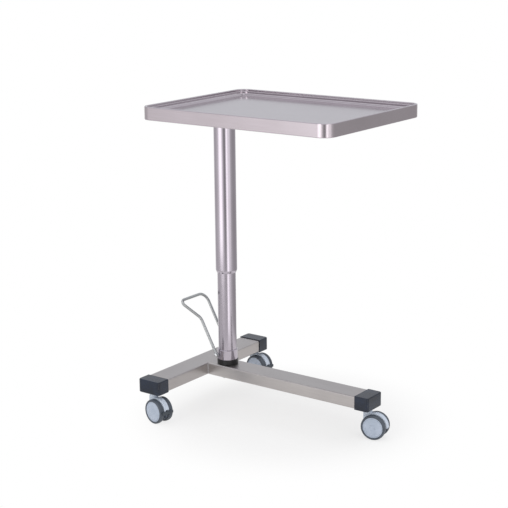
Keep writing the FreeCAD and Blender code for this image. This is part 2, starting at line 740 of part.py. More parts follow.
# Pump: stand, block, plunger, return spring, and the cam on the pedal's shaft
def make_pump():
    stand = new_body("pump_stand", column_x, "0", shaft_height)
    sketch = new_sketch(stand, "XZ_Plane")
    low = f"{foot_top} - {shaft_height}"
    high = f"{block_bottom} - {shaft_height}"
    inner = f"{inner_fit} - Sizes.standWall"
    outline(sketch, [(inner, low), (inner_fit, low), (inner_fit, high), (inner, high)])
    revolve(stand, sketch)
    window = new_sketch(stand, "XZ_Plane")
    rectangle(window, "-Sizes.lowerTubeDiameter", "-Sizes.shaftOffset / 2",
              "Sizes.standWindowLow - Sizes.shaftRise", "Sizes.standWindowHigh - Sizes.shaftRise")
    pocket(stand, window, "Sizes.lowerTubeDiameter", both=True)

    block = new_body("pump_block", column_x, "0", block_bottom)
    disc = new_sketch(block, "XY_Plane")
    circle(disc, inner_fit)
    pad(block, disc, "Sizes.blockHeight")
    seat = new_sketch(block, "XY_Plane", out="Sizes.blockHeight")
    circle(seat, "Sizes.cylinderDiameter / 2 + Sizes.runningGap")
    pocket(block, seat, "Sizes.blockSeat")
    bore = new_sketch(block, "XY_Plane")
    circle(bore, "Sizes.plungerDiameter / 2 + Sizes.runningGap", "-Sizes.plungerOffset")
    pocket(block, bore, "Sizes.plungerBoreDepth", back=True)

    shaft = new_body("pedal_shaft", column_x, "0", shaft_height)
    sketch = new_sketch(shaft, "XZ_Plane")
    circle(sketch, "Sizes.shaftDiameter / 2", "-Sizes.shaftOffset")
    pad(shaft, sketch, f"2 * ({eye_side} + Sizes.pedalEyeWidth + Sizes.shaftProud)", both=True)

    cam = new_body("pump_cam", column_x, "0", shaft_height)
    eye = new_sketch(cam, "XZ_Plane")
    circle(eye, "Sizes.camEyeDiameter / 2", "-Sizes.shaftOffset")
    pad(cam, eye, "Sizes.camWidth", both=True)
    finger = new_sketch(cam, "XZ_Plane")
    rectangle(finger, "-Sizes.shaftOffset", "Sizes.camReach - Sizes.shaftOffset",
              "-Sizes.camThickness / 2", "Sizes.camThickness / 2")
    pad(cam, finger, "Sizes.camWidth", both=True)
    bore = new_sketch(cam, "XZ_Plane")
    circle(bore, shaft_bore, "-Sizes.shaftOffset")
    pocket(cam, bore, "Sizes.camWidth", both=True)

    plunger_foot = f"({shaft_height} + Sizes.camThickness / 2 + Sizes.faceGap)"
    plunger_x = f"{column_x} - Sizes.plungerOffset"
    plunger = new_body("pump_plunger", plunger_x, "0", plunger_foot)
    sketch = new_sketch(plunger, "XZ_Plane")
    nose = "Sizes.plungerNoseDiameter / 2"
    side = "Sizes.plungerDiameter / 2"
    flange = "Sizes.plungerFlangeDiameter / 2"
    flange_top = "(Sizes.plungerFlangeRise + Sizes.plungerFlangeHeight)"
    outline(sketch, [("0", "0"), (nose, "0"), (side, "Sizes.plungerFlangeRise"),
                     (flange, "Sizes.plungerFlangeRise"), (flange, flange_top), (side, flange_top),
                     (side, "Sizes.plungerLength"), ("0", "Sizes.plungerLength")])
    revolve(plunger, sketch)

    spring = new_body("plunger_spring", plunger_x, "0", f"{plunger_foot} + {flange_top} + Sizes.faceGap")
    wire = new_sketch(spring, "XZ_Plane")
    coil_bore = "(Sizes.plungerDiameter / 2 + Sizes.faceGap)"
    rectangle(wire, coil_bore, f"{coil_bore} + Sizes.springWire", "0", "Sizes.springWire")
    coil = spring.newObject("PartDesign::AdditiveHelix", "Coil")
    coil.Profile = wire
    coil.ReferenceAxis = (wire, ["V_Axis"])
    coil.Mode = "height-turns-angle"
    room = f"{block_bottom} - {plunger_foot} - {flange_top} - Sizes.springWire - 2 * Sizes.faceGap"
    coil.setExpression("Height", room)
    coil.setExpression("Turns", "Sizes.springTurns")
    doc.recompute()


# Ram: cylinder on the pump block, gland, piston and rod, with a bearing under the column's head
def make_ram():
    ring("ram_cylinder", cylinder_bore, "Sizes.cylinderDiameter / 2", f"{cylinder_top} - {cylinder_bottom}",
         cylinder_bottom)
    gland = new_body("ram_gland", column_x, "0", cylinder_top)
    sketch = new_sketch(gland, "XZ_Plane")
    bore = "Sizes.rodDiameter / 2 + Sizes.runningGap"
    spigot = f"{cylinder_bore} - Sizes.runningGap"
    outer = "Sizes.cylinderDiameter / 2"
    outline(sketch, [(bore, "-Sizes.glandSpigot"), (spigot, "-Sizes.glandSpigot"), (spigot, "0"), (outer, "0"),
                     (outer, "Sizes.glandHeight"), (bore, "Sizes.glandHeight")])
    revolve(gland, sketch)
    ring("steady_ring", "Sizes.cylinderDiameter / 2 + Sizes.runningGap", inner_fit, "Sizes.steadyHeight",
         f"{cylinder_top} - Sizes.steadyDrop - Sizes.steadyHeight")

    rod = new_body("piston_rod", column_x, "0", piston_bottom)
    sketch = new_sketch(rod, "XZ_Plane")
    side = "Sizes.rodDiameter / 2"
    tip = "Sizes.rodSpigotDiameter / 2"
    shoulder = f"{rod_shoulder} - {piston_bottom}"
    top = f"{upper_tube_top} - Sizes.faceGap - {piston_bottom}"
    outline(sketch, [("0", "Sizes.pistonHeight"), (side, "Sizes.pistonHeight"), (side, shoulder), (tip, shoulder),
                     (tip, top), ("0", top)])
    revolve(rod, sketch)
    piston = new_body("ram_piston", column_x, "0", piston_bottom)
    disc = new_sketch(piston, "XY_Plane")
    circle(disc, f"{cylinder_bore} - Sizes.runningGap")
    pad(piston, disc, "Sizes.pistonHeight")
    ring("thrust_bearing", "Sizes.rodSpigotDiameter / 2 + Sizes.runningGap", "Sizes.bearingDiameter / 2",
         "Sizes.bearingHeight", rod_shoulder)


# Upper tube with its swaged lower edge, guide bushes and head plug
def make_upper_column():
    tube = new_body("upper_column_tube", column_x, "0", upper_tube_bottom)
    sketch = new_sketch(tube, "XZ_Plane")
    lip = f"{lower_tube_radius} + Sizes.lipGap"
    seat = "Sizes.swageHeight + Sizes.upperTubeWall"
    outline(sketch, [(lip, "0"), (f"{upper_tube_radius} - Sizes.swageDepth", "0"),
                     (upper_tube_radius, "Sizes.swageHeight"), (upper_tube_radius, "Sizes.upperTubeLength"),
                     (upper_tube_bore, "Sizes.upperTubeLength"), (upper_tube_bore, seat), (lip, seat)])
    revolve(tube, sketch)
    ring("lower_guide_bush", slide_fit, outer_fit, "Sizes.bushHeight", f"{upper_tube_bottom} + {seat}")
    ring("upper_guide_bush", slide_fit, outer_fit, "Sizes.bushHeight", f"{lower_tube_top} - Sizes.bushHeight")
    ring("column_head", "Sizes.rodSpigotDiameter / 2 + Sizes.runningGap", outer_fit, "Sizes.headHeight", head_bottom)


# Pedal: one rod bent in a leaning plane, closed across the top, with an eye at each leg
def make_pedal():
    body = new_body("foot_pedal", f"{column_x} - Sizes.shaftOffset", "0", shaft_height, Vector(0, 1, 0),
                    "-Sizes.pedalLean")
    section = new_sketch(body, "XY_Plane")
    circle(section, "Sizes.pedalRod / 2", "0", leg)
    path = new_sketch(body, "YZ_Plane")
    outline(path, [(leg, "0"), (leg, "Sizes.pedalLength", "Sizes.cornerRound"),
                   (f"-{leg} - Sizes.pedalFlare", "Sizes.pedalLength", "Sizes.tipRound"),
                   ("-" + leg, "Sizes.pedalKink", "Sizes.kinkRound"), ("-" + leg, "0")], closed=False)
    rod = body.newObject("PartDesign::AdditivePipe", "Rod")
    rod.Profile = section
    rod.Spine = (path, ["Edge%d" % number for number in range(1, 8)])
    rod.Mode = "Frenet"
    doc.recompute()
    body.Tip = rod
    for side in ("", "-"):
        eye = new_sketch(body, "XZ_Plane", out=f"{side}{leg} - Sizes.pedalEyeWidth / 2")
        circle(eye, "Sizes.pedalEyeDiameter / 2")
        pad(body, eye, "Sizes.pedalEyeWidth")
    bore = new_sketch(body, "XZ_Plane")
    circle(bore, shaft_bore)
    pocket(body, bore, f"4 * {leg}", both=True)


# Tray: one pressed sheet, its edge profile carried round the rim, closed by the floor
def make_tray():
    body = new_body("tray", tray_x, "0", tray_floor)
    length = "(Sizes.trayLength / 2)"
    width = "(Sizes.trayWidth / 2)"
    sheet_t = "Sizes.sheetThickness"
    rim_top = f"({sheet_t} + Sizes.trayDepth)"
    bottom = f"({rim_top} - Sizes.skirtHeight)"
    ledge_high = f"({rim_top} - Sizes.rimDrop)"
    ledge_low = f"({ledge_high} - Sizes.ledgeFall)"
    ledge_end = "(Sizes.rimWidth + Sizes.ledgeWidth)"
    step_end = f"({ledge_end} + Sizes.stepRun)"
    lap = f"({step_end} + Sizes.floorLap)"
    back = f"(Sizes.rimRound - {sheet_t})"

    path = new_sketch(body, "XY_Plane")
    corner = "Sizes.trayCorner"
    outline(path, [(length, "0"), (length, width, corner), ("-" + length, width, corner),
                   ("-" + length, "-" + width, corner), (length, "-" + width, corner)])
    profile = new_sketch(body, "XZ_Plane")
    edge = [("Sizes.hemWidth", bottom), ("0", bottom, "Sizes.rimRound"), ("0", rim_top, "Sizes.rimRound"),
            ("Sizes.rimWidth", rim_top, "Sizes.rimRound"), ("Sizes.rimWidth", ledge_high),
            (ledge_end, ledge_low), (step_end, sheet_t), (lap, sheet_t), (lap, "0"),
            (f"{step_end} - {sheet_t}", "0"), (f"{ledge_end} - {sheet_t}", f"{ledge_low} - {sheet_t}"),
            (f"Sizes.rimWidth - {sheet_t}", f"{ledge_high} - {sheet_t}"),
            (f"Sizes.rimWidth - {sheet_t}", f"{rim_top} - {sheet_t}", back),
            (sheet_t, f"{rim_top} - {sheet_t}", back), (sheet_t, f"{bottom} + {sheet_t}", back),
            ("Sizes.hemWidth", f"{bottom} + {sheet_t}")]
    outline(profile, [(f"{length} - ({point[0]})",) + point[1:] for point in edge])
    rim = body.newObject("PartDesign::AdditivePipe", "Rim")
    rim.Profile = profile
    rim.Spine = (path, ["Edge%d" % number for number in range(1, 10)])
    rim.Mode = "Frenet"
    doc.recompute()
    body.Tip = rim
    floor = new_sketch(body, "XY_Plane")
    inset = f"({lap} - Sizes.floorLap / 2)"
    rectangle(floor, f"{inset} - {length}", f"{length} - {inset}", f"{inset} - {width}", f"{width} - {inset}",
              f"{corner} - {inset}")
    pad(body, floor, sheet_t)


# Tray carrier: plate on the column, two channels under the floor, screws and nuts
def make_carrier():
    plate = new_body("mounting_plate", column_x, "0", upper_tube_top)
    sketch = new_sketch(plate, "XY_Plane")
    rectangle(sketch, "-Sizes.plateLength / 2", "Sizes.plateLength / 2", "-Sizes.plateWidth / 2",
              "Sizes.plateWidth / 2", "Sizes.plateCorner")
    pad(plate, sketch, "Sizes.plateThickness")
    holes = new_sketch(plate, "XY_Plane")
    for x, y in screw_places():
        circle(holes, "Sizes.screwDiameter / 2 + Sizes.faceGap", x, y)
    pocket(plate, holes, back=True)

    for name, sign in (("front", "-"), ("back", "")):
        channel = new_body(name + "_channel", tray_x, f"{sign}Sizes.channelSpacing / 2", plate_top)
        channel_length = "(Sizes.trayLength - 2 * Sizes.channelInset)"
        section = new_sketch(channel, "YZ_Plane", out=f"-{channel_length} / 2")
        half = "(Sizes.channelWidth / 2)"
        wall = "Sizes.sheetThickness"
        outline(section, [("-" + half, "0"), (half, "0"), (half, "Sizes.channelHeight"),
                          (f"{half} - {wall}", "Sizes.channelHeight"), (f"{half} - {wall}", wall),
                          (f"{wall} - {half}", wall), (f"{wall} - {half}", "Sizes.channelHeight"),
                          ("-" + half, "Sizes.channelHeight")])
        pad(channel, section, channel_length)
        holes = new_sketch(channel, "XY_Plane")
        for x in ("-Sizes.screwSpacing / 2", "Sizes.screwSpacing / 2"):
            circle(holes, "Sizes.screwDiameter / 2 + Sizes.faceGap", f"{x} - Sizes.trayOffset")
        pocket(channel, holes, wall, back=True)

    screws = new_body("tray_screws", column_x, "0", upper_tube_top)
    nuts = new_body("tray_nuts", column_x, "0", f"{plate_top} + Sizes.sheetThickness")
    for x, y in screw_places():
        head = new_sketch(screws, "XY_Plane")
        circle(head, "Sizes.screwHeadDiameter / 2", x, y)
        pad(screws, head, "Sizes.screwHeadHeight", back=True)
        shank = new_sketch(screws, "XY_Plane")
        circle(shank, "Sizes.screwDiameter / 2", x, y)
        pad(screws, shank, f"{plate_top} - {upper_tube_top} + 2 * Sizes.sheetThickness + Sizes.screwNutHeight")
        nut = new_sketch(nuts, "XY_Plane")
        hexagon(nut, "Sizes.screwNutWidth", x, y)
        circle(nut, "Sizes.screwDiameter / 2 + Sizes.runningGap", x, y)
        pad(nuts, nut, "Sizes.screwNutHeight")


def screw_places():
    return [(x + "Sizes.screwSpacing / 2", y + "Sizes.channelSpacing / 2") for x in ("-", "") for y in ("-", "")]


corners = {
    "right_castor": {"x": right_stem_x, "y": "0", "swivel": "Sizes.rightSwivel", "brake": False},
    "left_castor": {"x": cross_x, "y": "-" + stem_y, "swivel": "Sizes.leftSwivel", "brake": True},
    "back_castor": {"x": cross_x, "y": stem_y, "swivel": "Sizes.backSwivel", "brake": True},
}

make_base_tubes()
make_end_cap("right_end_cap", f"{column_x} + Sizes.longTubeEnd", "0", "0")
make_end_cap("left_end_cap", cross_x, "-Sizes.crossTubeLength / 2", "-90")
make_end_cap("back_end_cap", cross_x, "Sizes.crossTubeLength / 2", "90")
make_stem_nuts()
for castor, corner in corners.items():
    make_castor(castor, corner)
make_column_foot()
make_column_base()
make_pump()
make_ram()
make_upper_column()
make_pedal()
make_tray()
make_carrier()
doc.recompute()

# Every feature and every piece is sound before anything is written
for item in doc.Objects:
    if "Invalid" in item.State or "Error" in item.State:
        raise RuntimeError("failed: " + item.Label)
for piece in pieces:
    if piece.Shape.isNull() or not piece.Shape.isValid() or not piece.Shape.Solids:
        raise RuntimeError("no sound solid: " + piece.Label)

os.makedirs("parts", exist_ok=True)
for piece in pieces:
    piece.Shape.exportStep("parts/" + piece.Label + ".step")
    print(piece.Label, len(piece.Shape.Solids), round(piece.Shape.Volume))
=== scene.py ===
import bmesh
import bpy
import json
import math
from mathutils import Matrix, Vector


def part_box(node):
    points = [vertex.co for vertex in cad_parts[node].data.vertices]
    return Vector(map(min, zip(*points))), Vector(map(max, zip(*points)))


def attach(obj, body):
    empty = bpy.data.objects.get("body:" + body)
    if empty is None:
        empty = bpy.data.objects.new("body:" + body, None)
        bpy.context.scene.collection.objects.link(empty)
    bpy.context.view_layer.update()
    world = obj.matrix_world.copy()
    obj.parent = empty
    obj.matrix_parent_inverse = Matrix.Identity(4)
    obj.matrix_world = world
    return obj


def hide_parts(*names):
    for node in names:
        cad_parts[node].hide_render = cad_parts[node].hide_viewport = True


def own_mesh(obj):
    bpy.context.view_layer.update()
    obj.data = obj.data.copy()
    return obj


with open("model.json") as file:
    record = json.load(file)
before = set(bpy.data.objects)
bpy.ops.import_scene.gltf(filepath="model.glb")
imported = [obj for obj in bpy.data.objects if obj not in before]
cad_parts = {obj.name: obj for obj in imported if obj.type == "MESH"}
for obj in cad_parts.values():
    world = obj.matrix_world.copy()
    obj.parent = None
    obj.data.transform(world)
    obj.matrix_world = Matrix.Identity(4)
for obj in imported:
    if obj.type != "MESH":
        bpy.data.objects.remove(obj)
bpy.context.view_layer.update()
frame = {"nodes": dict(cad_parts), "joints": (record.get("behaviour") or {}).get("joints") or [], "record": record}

scene = bpy.context.scene
print("frame loaded:", len(frame["nodes"]), "nodes")


# Small helpers for colours and shader nodes
def linearColour(hexText):
    channels = [int(hexText[i:i + 2], 16) / 255 for i in (1, 3, 5)]
    return tuple(c / 12.92 if c <= 0.04045 else ((c + 0.055) / 1.055) ** 2.4 for c in channels) + (1.0,)


def addNode(tree, kind, settings=None, links=None):
    node = tree.nodes.new("ShaderNode" + kind)
    for name, value in (settings or {}).items():
        if isinstance(name, str) and hasattr(node, name):
            setattr(node, name, value)
        else:
            node.inputs[name].default_value = value
    for name, source in (links or {}).items():
        tree.links.new(source, node.inputs[name])
    return node


def addRamp(tree, factor, stops, easing="LINEAR"):
    node = addNode(tree, "ValToRGB", links={"Fac": factor})
    ramp = node.color_ramp
    ramp.interpolation = easing
    while len(ramp.elements) < len(stops):
        ramp.elements.new(0.5)
    for element, (position, colour) in zip(ramp.elements, stops):
        element.position = position
        element.color = colour
    return node.outputs["Color"]


def addShades(tree, factor, shades, low=0.35, high=0.65):
    return addRamp(tree, factor, [(low, linearColour(shades[0])), (high, linearColour(shades[1]))])


def addStep(tree, value, start, end, least=0.0):
    step = addNode(tree, "MapRange", {"interpolation_type": "SMOOTHSTEP", "From Min": start, "From Max": end,
                                      "To Min": least}, {"Value": value})
    return step.outputs["Result"]


def addNoise(tree, vector, size, detail, **more):
    noise = addNode(tree, "TexNoise", {"Scale": 1 / size, "Detail": detail, **more}, {"Vector": vector})
    return noise.outputs["Fac"]


def startMaterial(name, **shader):
    material = bpy.data.materials.new(name)
    material.use_nodes = True
    tree = material.node_tree
    tree.nodes.clear()
    surface = addNode(tree, "BsdfPrincipled", shader)
    addNode(tree, "OutputMaterial", links={"Surface": surface.outputs["BSDF"]})
    return material, tree, surface


# Camera at the photograph's viewing angle
view = {"place": (2.3749, -3.3787, 1.5739), "yaw": 2.208, "pitch": 0.245, "roll": -0.01,
        "lens": 96.06, "sensor": 36, "reach": 60}


def makeCamera():
    data = bpy.data.cameras.new("photoCamera")
    data.lens, data.sensor_width, data.clip_end = view["lens"], view["sensor"], view["reach"]
    camera = bpy.data.objects.new("photoCamera", data)
    scene.collection.objects.link(camera)
    camera.location = view["place"]
    look = Vector((math.cos(view["pitch"]) * math.cos(view["yaw"]),
                   math.cos(view["pitch"]) * math.sin(view["yaw"]), -math.sin(view["pitch"])))
    camera.rotation_mode = "QUATERNION"
    turn = Matrix.Rotation(view["roll"], 3, "Z").to_quaternion()
    camera.rotation_quaternion = look.to_track_quat("-Z", "Y") @ turn
    scene.camera = camera


makeCamera()
scene.view_settings.view_transform = "Standard"

# Studio: a small pale floor in a round white room, whose wall is brighter in tall panels each side of the camera
studio = {
    # the floor is lit board near the object, fades to white further out, and thins out at its rim
    "floorRadius": 0.85, "fadeFrom": 0.24, "fadeTo": 0.56, "whiteNear": 0.62, "rimFrom": 0.5, "rimTo": 0.78,
    # bearing in degrees from +X, and brightness of the wall there: level with tray and column, then lower down
    "wall": [(-180, 0.62), (-160, 0.74), (-140, 0.9), (-131, 0.98), (-126, 1.22), (-120, 1.7), (-112, 2.1),
             (-102, 2.4), (-91, 2.1), (-80, 1.2), (-68, 0.6), (-57, 0.36), (-48, 0.5), (-40, 1.7), (-33, 2.2),
             (-25, 1.6), (-14, 1.35), (-3, 1.3), (8, 0.8), (22, 0.6), (40, 0.52), (62, 0.5), (95, 0.6),
             (112, 1.0), (145, 1.0), (165, 0.8), (180, 0.62)],
    "lowWall": [(-180, 0.72), (-153, 0.72), (-135, 0.7), (-119, 0.66), (-100, 0.66), (-78, 0.74), (-60, 0.76),
                (-48, 0.8), (-38, 1.8), (-29, 2.2), (-20, 1.25), (-8, 0.95), (4, 0.82), (18, 0.66), (40, 0.54),
                (65, 0.49), (95, 0.5), (112, 1.0), (145, 1.0), (165, 0.8), (180, 0.72)],
    # height above the horizon, as a share of straight up, and brightness of the ceiling there
    "ceiling": [(0.0, 0.78), (0.18, 0.73), (0.32, 0.98), (0.42, 0.53), (0.56, 0.9), (1.0, 1.12)],
    "ceilingTint": (0.935, 0.955, 1.0), "brightest": 2.4,
    # the same heights, from and to which one part of the room passes into the next
    "toCeiling": (-0.03, 0.1), "toLowWall": (-0.242, -0.258), "toGround": (-0.36, -0.6),
    "aim": (-0.05, 0, 0.55),
    "panels": [  # bearing, height, width, tall, distance, watts
        {"bearing": -96, "height": 2.3, "width": 1.4, "tall": 1.4, "distance": 3.2, "power": 16},
        {"bearing": -20, "height": 2.3, "width": 1.2, "tall": 1.4, "distance": 3.2, "power": 9},
    ],
}


def addBrightness(tree, factor, stops):
    levels = [(position, (strength / studio["brightest"],) * 3 + (1,)) for position, strength in stops]
    return addRamp(tree, factor, levels, "EASE")


def makeWorld():
    world = bpy.data.worlds.new("softRoom")
    scene.world = world
    world.use_nodes = True
    tree = world.node_tree
    tree.nodes.clear()
    coord = addNode(tree, "TexCoord")
    split = addNode(tree, "SeparateXYZ", links={"Vector": coord.outputs["Generated"]})
    height = split.outputs["Z"]
    bearing = addNode(tree, "Math", {"operation": "ARCTAN2"}, {0: split.outputs["Y"], 1: split.outputs["X"]})
    turn = addNode(tree, "MapRange", {"From Min": -math.pi, "From Max": math.pi},
                   {"Value": bearing.outputs["Value"]}).outputs["Result"]
    upper, lower = [addBrightness(tree, turn, [((angle + 180) / 360, level) for angle, level in studio[name]])
                    for name in ("wall", "lowWall")]
    wall = addNode(tree, "MixRGB", links={"Fac": addStep(tree, height, *studio["toLowWall"]),
                                          "Color1": upper, "Color2": lower})
    tint = {"blend_type": "MULTIPLY", "Fac": 1.0, "Color2": studio["ceilingTint"] + (1,)}
    ceiling = addNode(tree, "MixRGB", tint, {"Color1": addBrightness(tree, height, studio["ceiling"])})
    tone = addNode(tree, "MixRGB", links={"Fac": addStep(tree, height, *studio["toCeiling"]),
                                          "Color1": wall.outputs["Color"], "Color2": ceiling.outputs["Color"]})
    # straight down the walls run together, so past the floor's rim the room is plain white there
    ground = addNode(tree, "MixRGB", {"Color2": (1 / studio["brightest"],) * 3 + (1,)},
                     {"Fac": addStep(tree, height, *studio["toGround"]), "Color1": tone.outputs["Color"]})
    room = addNode(tree, "Background", {"Strength": studio["brightest"]}, {"Color": ground.outputs["Color"]})
    addNode(tree, "OutputWorld", links={"Surface": room.outputs["Background"]})


def makeFloor():
    bpy.ops.mesh.primitive_circle_add(vertices=64, radius=studio["floorRadius"], fill_type="NGON")
    floor = bpy.context.object
    floor.name = "studioFloor"
    material, tree, surface = startMaterial("paintedBoard", Roughness=0.9)
    place = addNode(tree, "TexCoord").outputs["Object"]
    shade = addShades(tree, addNoise(tree, place, 1 / 3, 2.0), ("#EFECE8", "#F2F0EC"), 0.3, 0.7)
    tree.links.new(shade, surface.inputs["Base Color"])
    far = addNode(tree, "VectorMath", {"operation": "LENGTH"}, {0: place}).outputs["Value"]
    # the camera, metal and glass see the board fade to white; near the object its own shadow stays
    fade = addStep(tree, far, studio["fadeFrom"], studio["fadeTo"], studio["whiteNear"])
    path = addNode(tree, "LightPath")
    mirrored = addNode(tree, "Math", {"operation": "MAXIMUM"}, {0: path.outputs["Is Glossy Ray"],
                                                                1: path.outputs["Is Transmission Ray"]})
    seen = addNode(tree, "Math", {"operation": "MAXIMUM"}, {0: path.outputs["Is Camera Ray"],
                                                            1: mirrored.outputs["Value"]})
    share = addNode(tree, "Math", {"operation": "MULTIPLY"}, {0: seen.outputs["Value"], 1: fade})
    glow = addNode(tree, "Emission", {"Color": (1, 1, 1, 1), "Strength": 1.0})
    both = addNode(tree, "MixShader", links={0: share.outputs["Value"], 1: surface.outputs["BSDF"],
                                             2: glow.outputs["Emission"]})
    # the board thins out to nothing, so that it has no hard edge against the room
    clear = addNode(tree, "BsdfTransparent")
    thinned = addNode(tree, "MixShader", links={0: addStep(tree, far, studio["rimFrom"], studio["rimTo"]),
                                                1: both.outputs["Shader"], 2: clear.outputs["BSDF"]})
    output = next(node for node in tree.nodes if node.type == "OUTPUT_MATERIAL")
    tree.links.new(thinned.outputs["Shader"], output.inputs["Surface"])
    floor.data.materials.append(material)


def makePanels():
    for number, panel in enumerate(studio["panels"]):
        data = bpy.data.lights.new("softPanel%d" % number, "AREA")
        data.shape, data.energy = "RECTANGLE", panel["power"]
        data.size, data.size_y = panel["width"], panel["tall"]
        lamp = bpy.data.objects.new(data.name, data)
        scene.collection.objects.link(lamp)
        bearing, distance = math.radians(panel["bearing"]), panel["distance"]
        lamp.location = (distance * math.cos(bearing), distance * math.sin(bearing), panel["height"])
        lamp.rotation_mode = "QUATERNION"
        lamp.rotation_quaternion = (Vector(studio["aim"]) - lamp.location).to_track_quat("-Z", "Y")


makeWorld()
makeFloor()
makePanels()
print("camera and studio ready")


# Colour, roughness and relief of a surface, each led by a pattern
def dressSurface(tree, surface, colour, glossBy, smooth, rough, relief, strength, depth):
    gloss = addNode(tree, "MapRange", {"From Min": 0.3, "From Max": 0.7, "To Min": smooth, "To Max": rough},
                    {"Value": glossBy})
    bump = addNode(tree, "Bump", {"Strength": strength, "Distance": depth}, {"Height": relief})
    tree.links.new(colour, surface.inputs["Base Color"])
    tree.links.new(gloss.outputs["Result"], surface.inputs["Roughness"])
    tree.links.new(bump.outputs["Normal"], surface.inputs["Normal"])


# Pattern sizes in metres; belt scratches are about 0.1 mm wide, and drawn wider so that they show
pattern = {"scratchWidth": 0.0012, "scratchLength": 0.09, "cloud": 0.12, "flow": 0.03}


# Stainless steel, ground with a fine belt: long scratches that follow the grain and spread the highlight
def brushedStainless(name, grain, shades, smooth, rough, length=pattern["scratchLength"], depth=0.00006):
    material, tree, surface = startMaterial(name, Metallic=1.0, Anisotropic=0.25)
    place = addNode(tree, "TexCoord").outputs["Object"]
    scale = tuple(1 / (length if axis == grain else pattern["scratchWidth"]) for axis in "xyz")
    stretch = addNode(tree, "Mapping", {"Scale": scale}, {"Vector": place}).outputs["Vector"]
    scratch = addNoise(tree, stretch, 1.0, 3.0, Roughness=0.6)
    cloud = addNode(tree, "Math", {"operation": "MULTIPLY", 1: 0.45},
                    {0: addNoise(tree, place, pattern["cloud"], 2.0)}).outputs["Value"]
    tone = addNode(tree, "Math", {"operation": "MULTIPLY_ADD", 1: 0.55},
                   {0: scratch, 2: cloud}).outputs["Value"]
    colour = addShades(tree, tone, shades, 0.36, 0.64)
    dressSurface(tree, surface, colour, tone, smooth, rough, scratch, 0.25, depth)
    return material


# Plated or turned steel fittings: a fine grain, a little duller in the hollows
def plainSteel(name, shades, smooth, rough, grit, depth=0.00005):
    material, tree, surface = startMaterial(name, Metallic=1.0)
    noise = addNoise(tree, addNode(tree, "TexCoord").outputs["Object"], grit, 3.0)
    dressSurface(tree, surface, addShades(tree, noise, shades), noise, smooth, rough, noise, 0.15, depth)
    return material


# Injection-moulded plastic with a spark-eroded grain, which breaks the highlight into a soft sheen
def mouldedPlastic(name, shades, rough, grain, depth, spread=0.06):
    material, tree, surface = startMaterial(name, IOR=1.49)
    place = addNode(tree, "TexCoord").outputs["Object"]
    pits = addNoise(tree, place, grain, 2.0)
    colour = addShades(tree, addNoise(tree, place, pattern["flow"], 1.0), shades)
    dressSurface(tree, surface, colour, pits, rough - spread, rough + spread, pits, 0.3, depth)
    return material


# base tubes: warm grey, with a dull highlight along the tube
tubeShades = ("#AEA9A8", "#B9B4B2")
tubeAlongX = brushedStainless("beltGroundStainlessAlongX", "x", tubeShades, 0.28, 0.38)
tubeAlongY = brushedStainless("beltGroundStainlessAlongY", "y", tubeShades, 0.28, 0.38)
# column: close to a mirror, so the room stands in it as sharp upright streaks; the inner tube is a little duller
columnShades = ("#B1A9B2", "#BBB4BD")
columnSteel = brushedStainless("polishedStainlessTube", "z", columnShades, 0.09, 0.12, 0.6, 0.000015)
rodTubeSteel = brushedStainless("groundStainlessTube", "z", columnShades, 0.13, 0.17, 0.6, 0.000015)
# tray: satin sheet that brightens round its corners
traySteel = brushedStainless("pressedSatinStainless", "x", ("#B6ADB2", "#BDB4BA"), 0.11, 0.17, depth=0.00004)
# pedal rod: an even grey sheen without streaks
pedalSteel = plainSteel("tumbledStainlessRod", ("#A7A9A9", "#B5B6B6"), 0.24, 0.34, 0.004)
# fittings: turned parts shine softly, plated ones look paler and flatter, mill finish is the dullest
turnedSteel = plainSteel("turnedSteel", ("#A4A2A4", "#B8B6B8"), 0.22, 0.34, 0.002)
platedSteel = plainSteel("zincPlatedSteel", ("#A8AAAC", "#BEC0C2"), 0.28, 0.42, 0.0015)
millSteel = plainSteel("millFinishStainless", ("#A09E9E", "#B0AEAE"), 0.32, 0.46, 0.006)
# shaft buttons and ram: bright, with a small sharp highlight
buttonSteel = plainSteel("polishedPressedSteel", ("#D8D8DA", "#E2E2E4"), 0.14, 0.22, 0.002)
chromeRod = plainSteel("groundChromePlate", ("#D0D0D4", "#DCDCDE"), 0.06, 0.12, 0.003)
# end caps: blue-black with a grey sheen on top; cover ring: plain black
capPlastic = mouldedPlastic("mouldedPolypropylene", ("#0A1424", "#121F33"), 0.26, 0.0012, 0.00010)
ringPlastic = mouldedPlastic("mouldedBlackNylon", ("#060406", "#0C0A0C"), 0.34, 0.0015, 0.00006)
# castors: pale blue-grey covers, hoods of the covers' nylon painted paler as painted light against the shade
# between the wheels, slate levers and matt grey tyres
castorPlastic = mouldedPlastic("mouldedGreyNylon", ("#AEB8C6", "#B9C2D0"), 0.42, 0.0010, 0.00005)
hoodNylonPaintedPaler = mouldedPlastic("mouldedGreyNylonPaintedPaler", ("#CBD4E0", "#D4DCE7"), 0.40, 0.0010, 0.00005)
brakePlastic = mouldedPlastic("mouldedSlateNylon", ("#343A42", "#40474E"), 0.42, 0.0012, 0.00008)
tyreRubber = mouldedPlastic("mouldedThermoplasticRubber", ("#454B54", "#505760"), 0.50, 0.0010, 0.00008)
# guide bushes: milky white
bushPlastic = mouldedPlastic("machinedAcetal", ("#D8D8D2", "#E2E2DC"), 0.4, 0.0010, 0.00004)

slotMaterials = {
    "base_tube": tubeAlongX, "column_tube": columnSteel, "tray_sheet": traySteel, "cap_plastic": capPlastic,
    "black_plastic": ringPlastic, "castor_plastic": castorPlastic, "brake_plastic": brakePlastic,
    "tyre": tyreRubber, "pedal_rod": pedalSteel, "bush_plastic": bushPlastic, "chrome_rod": chromeRod,
    "machined_steel": turnedSteel, "carrier_steel": millSteel, "fastener_steel": platedSteel,
}


def dressNodes():
    for part in frame["record"]["subparts"]:
        node = frame["nodes"][part["node"]]
        material = tubeAlongY if part["node"] == "cross_base_tube" else slotMaterials[part["material_slot"]]
        node.data.materials.clear()
        node.data.materials.append(material)


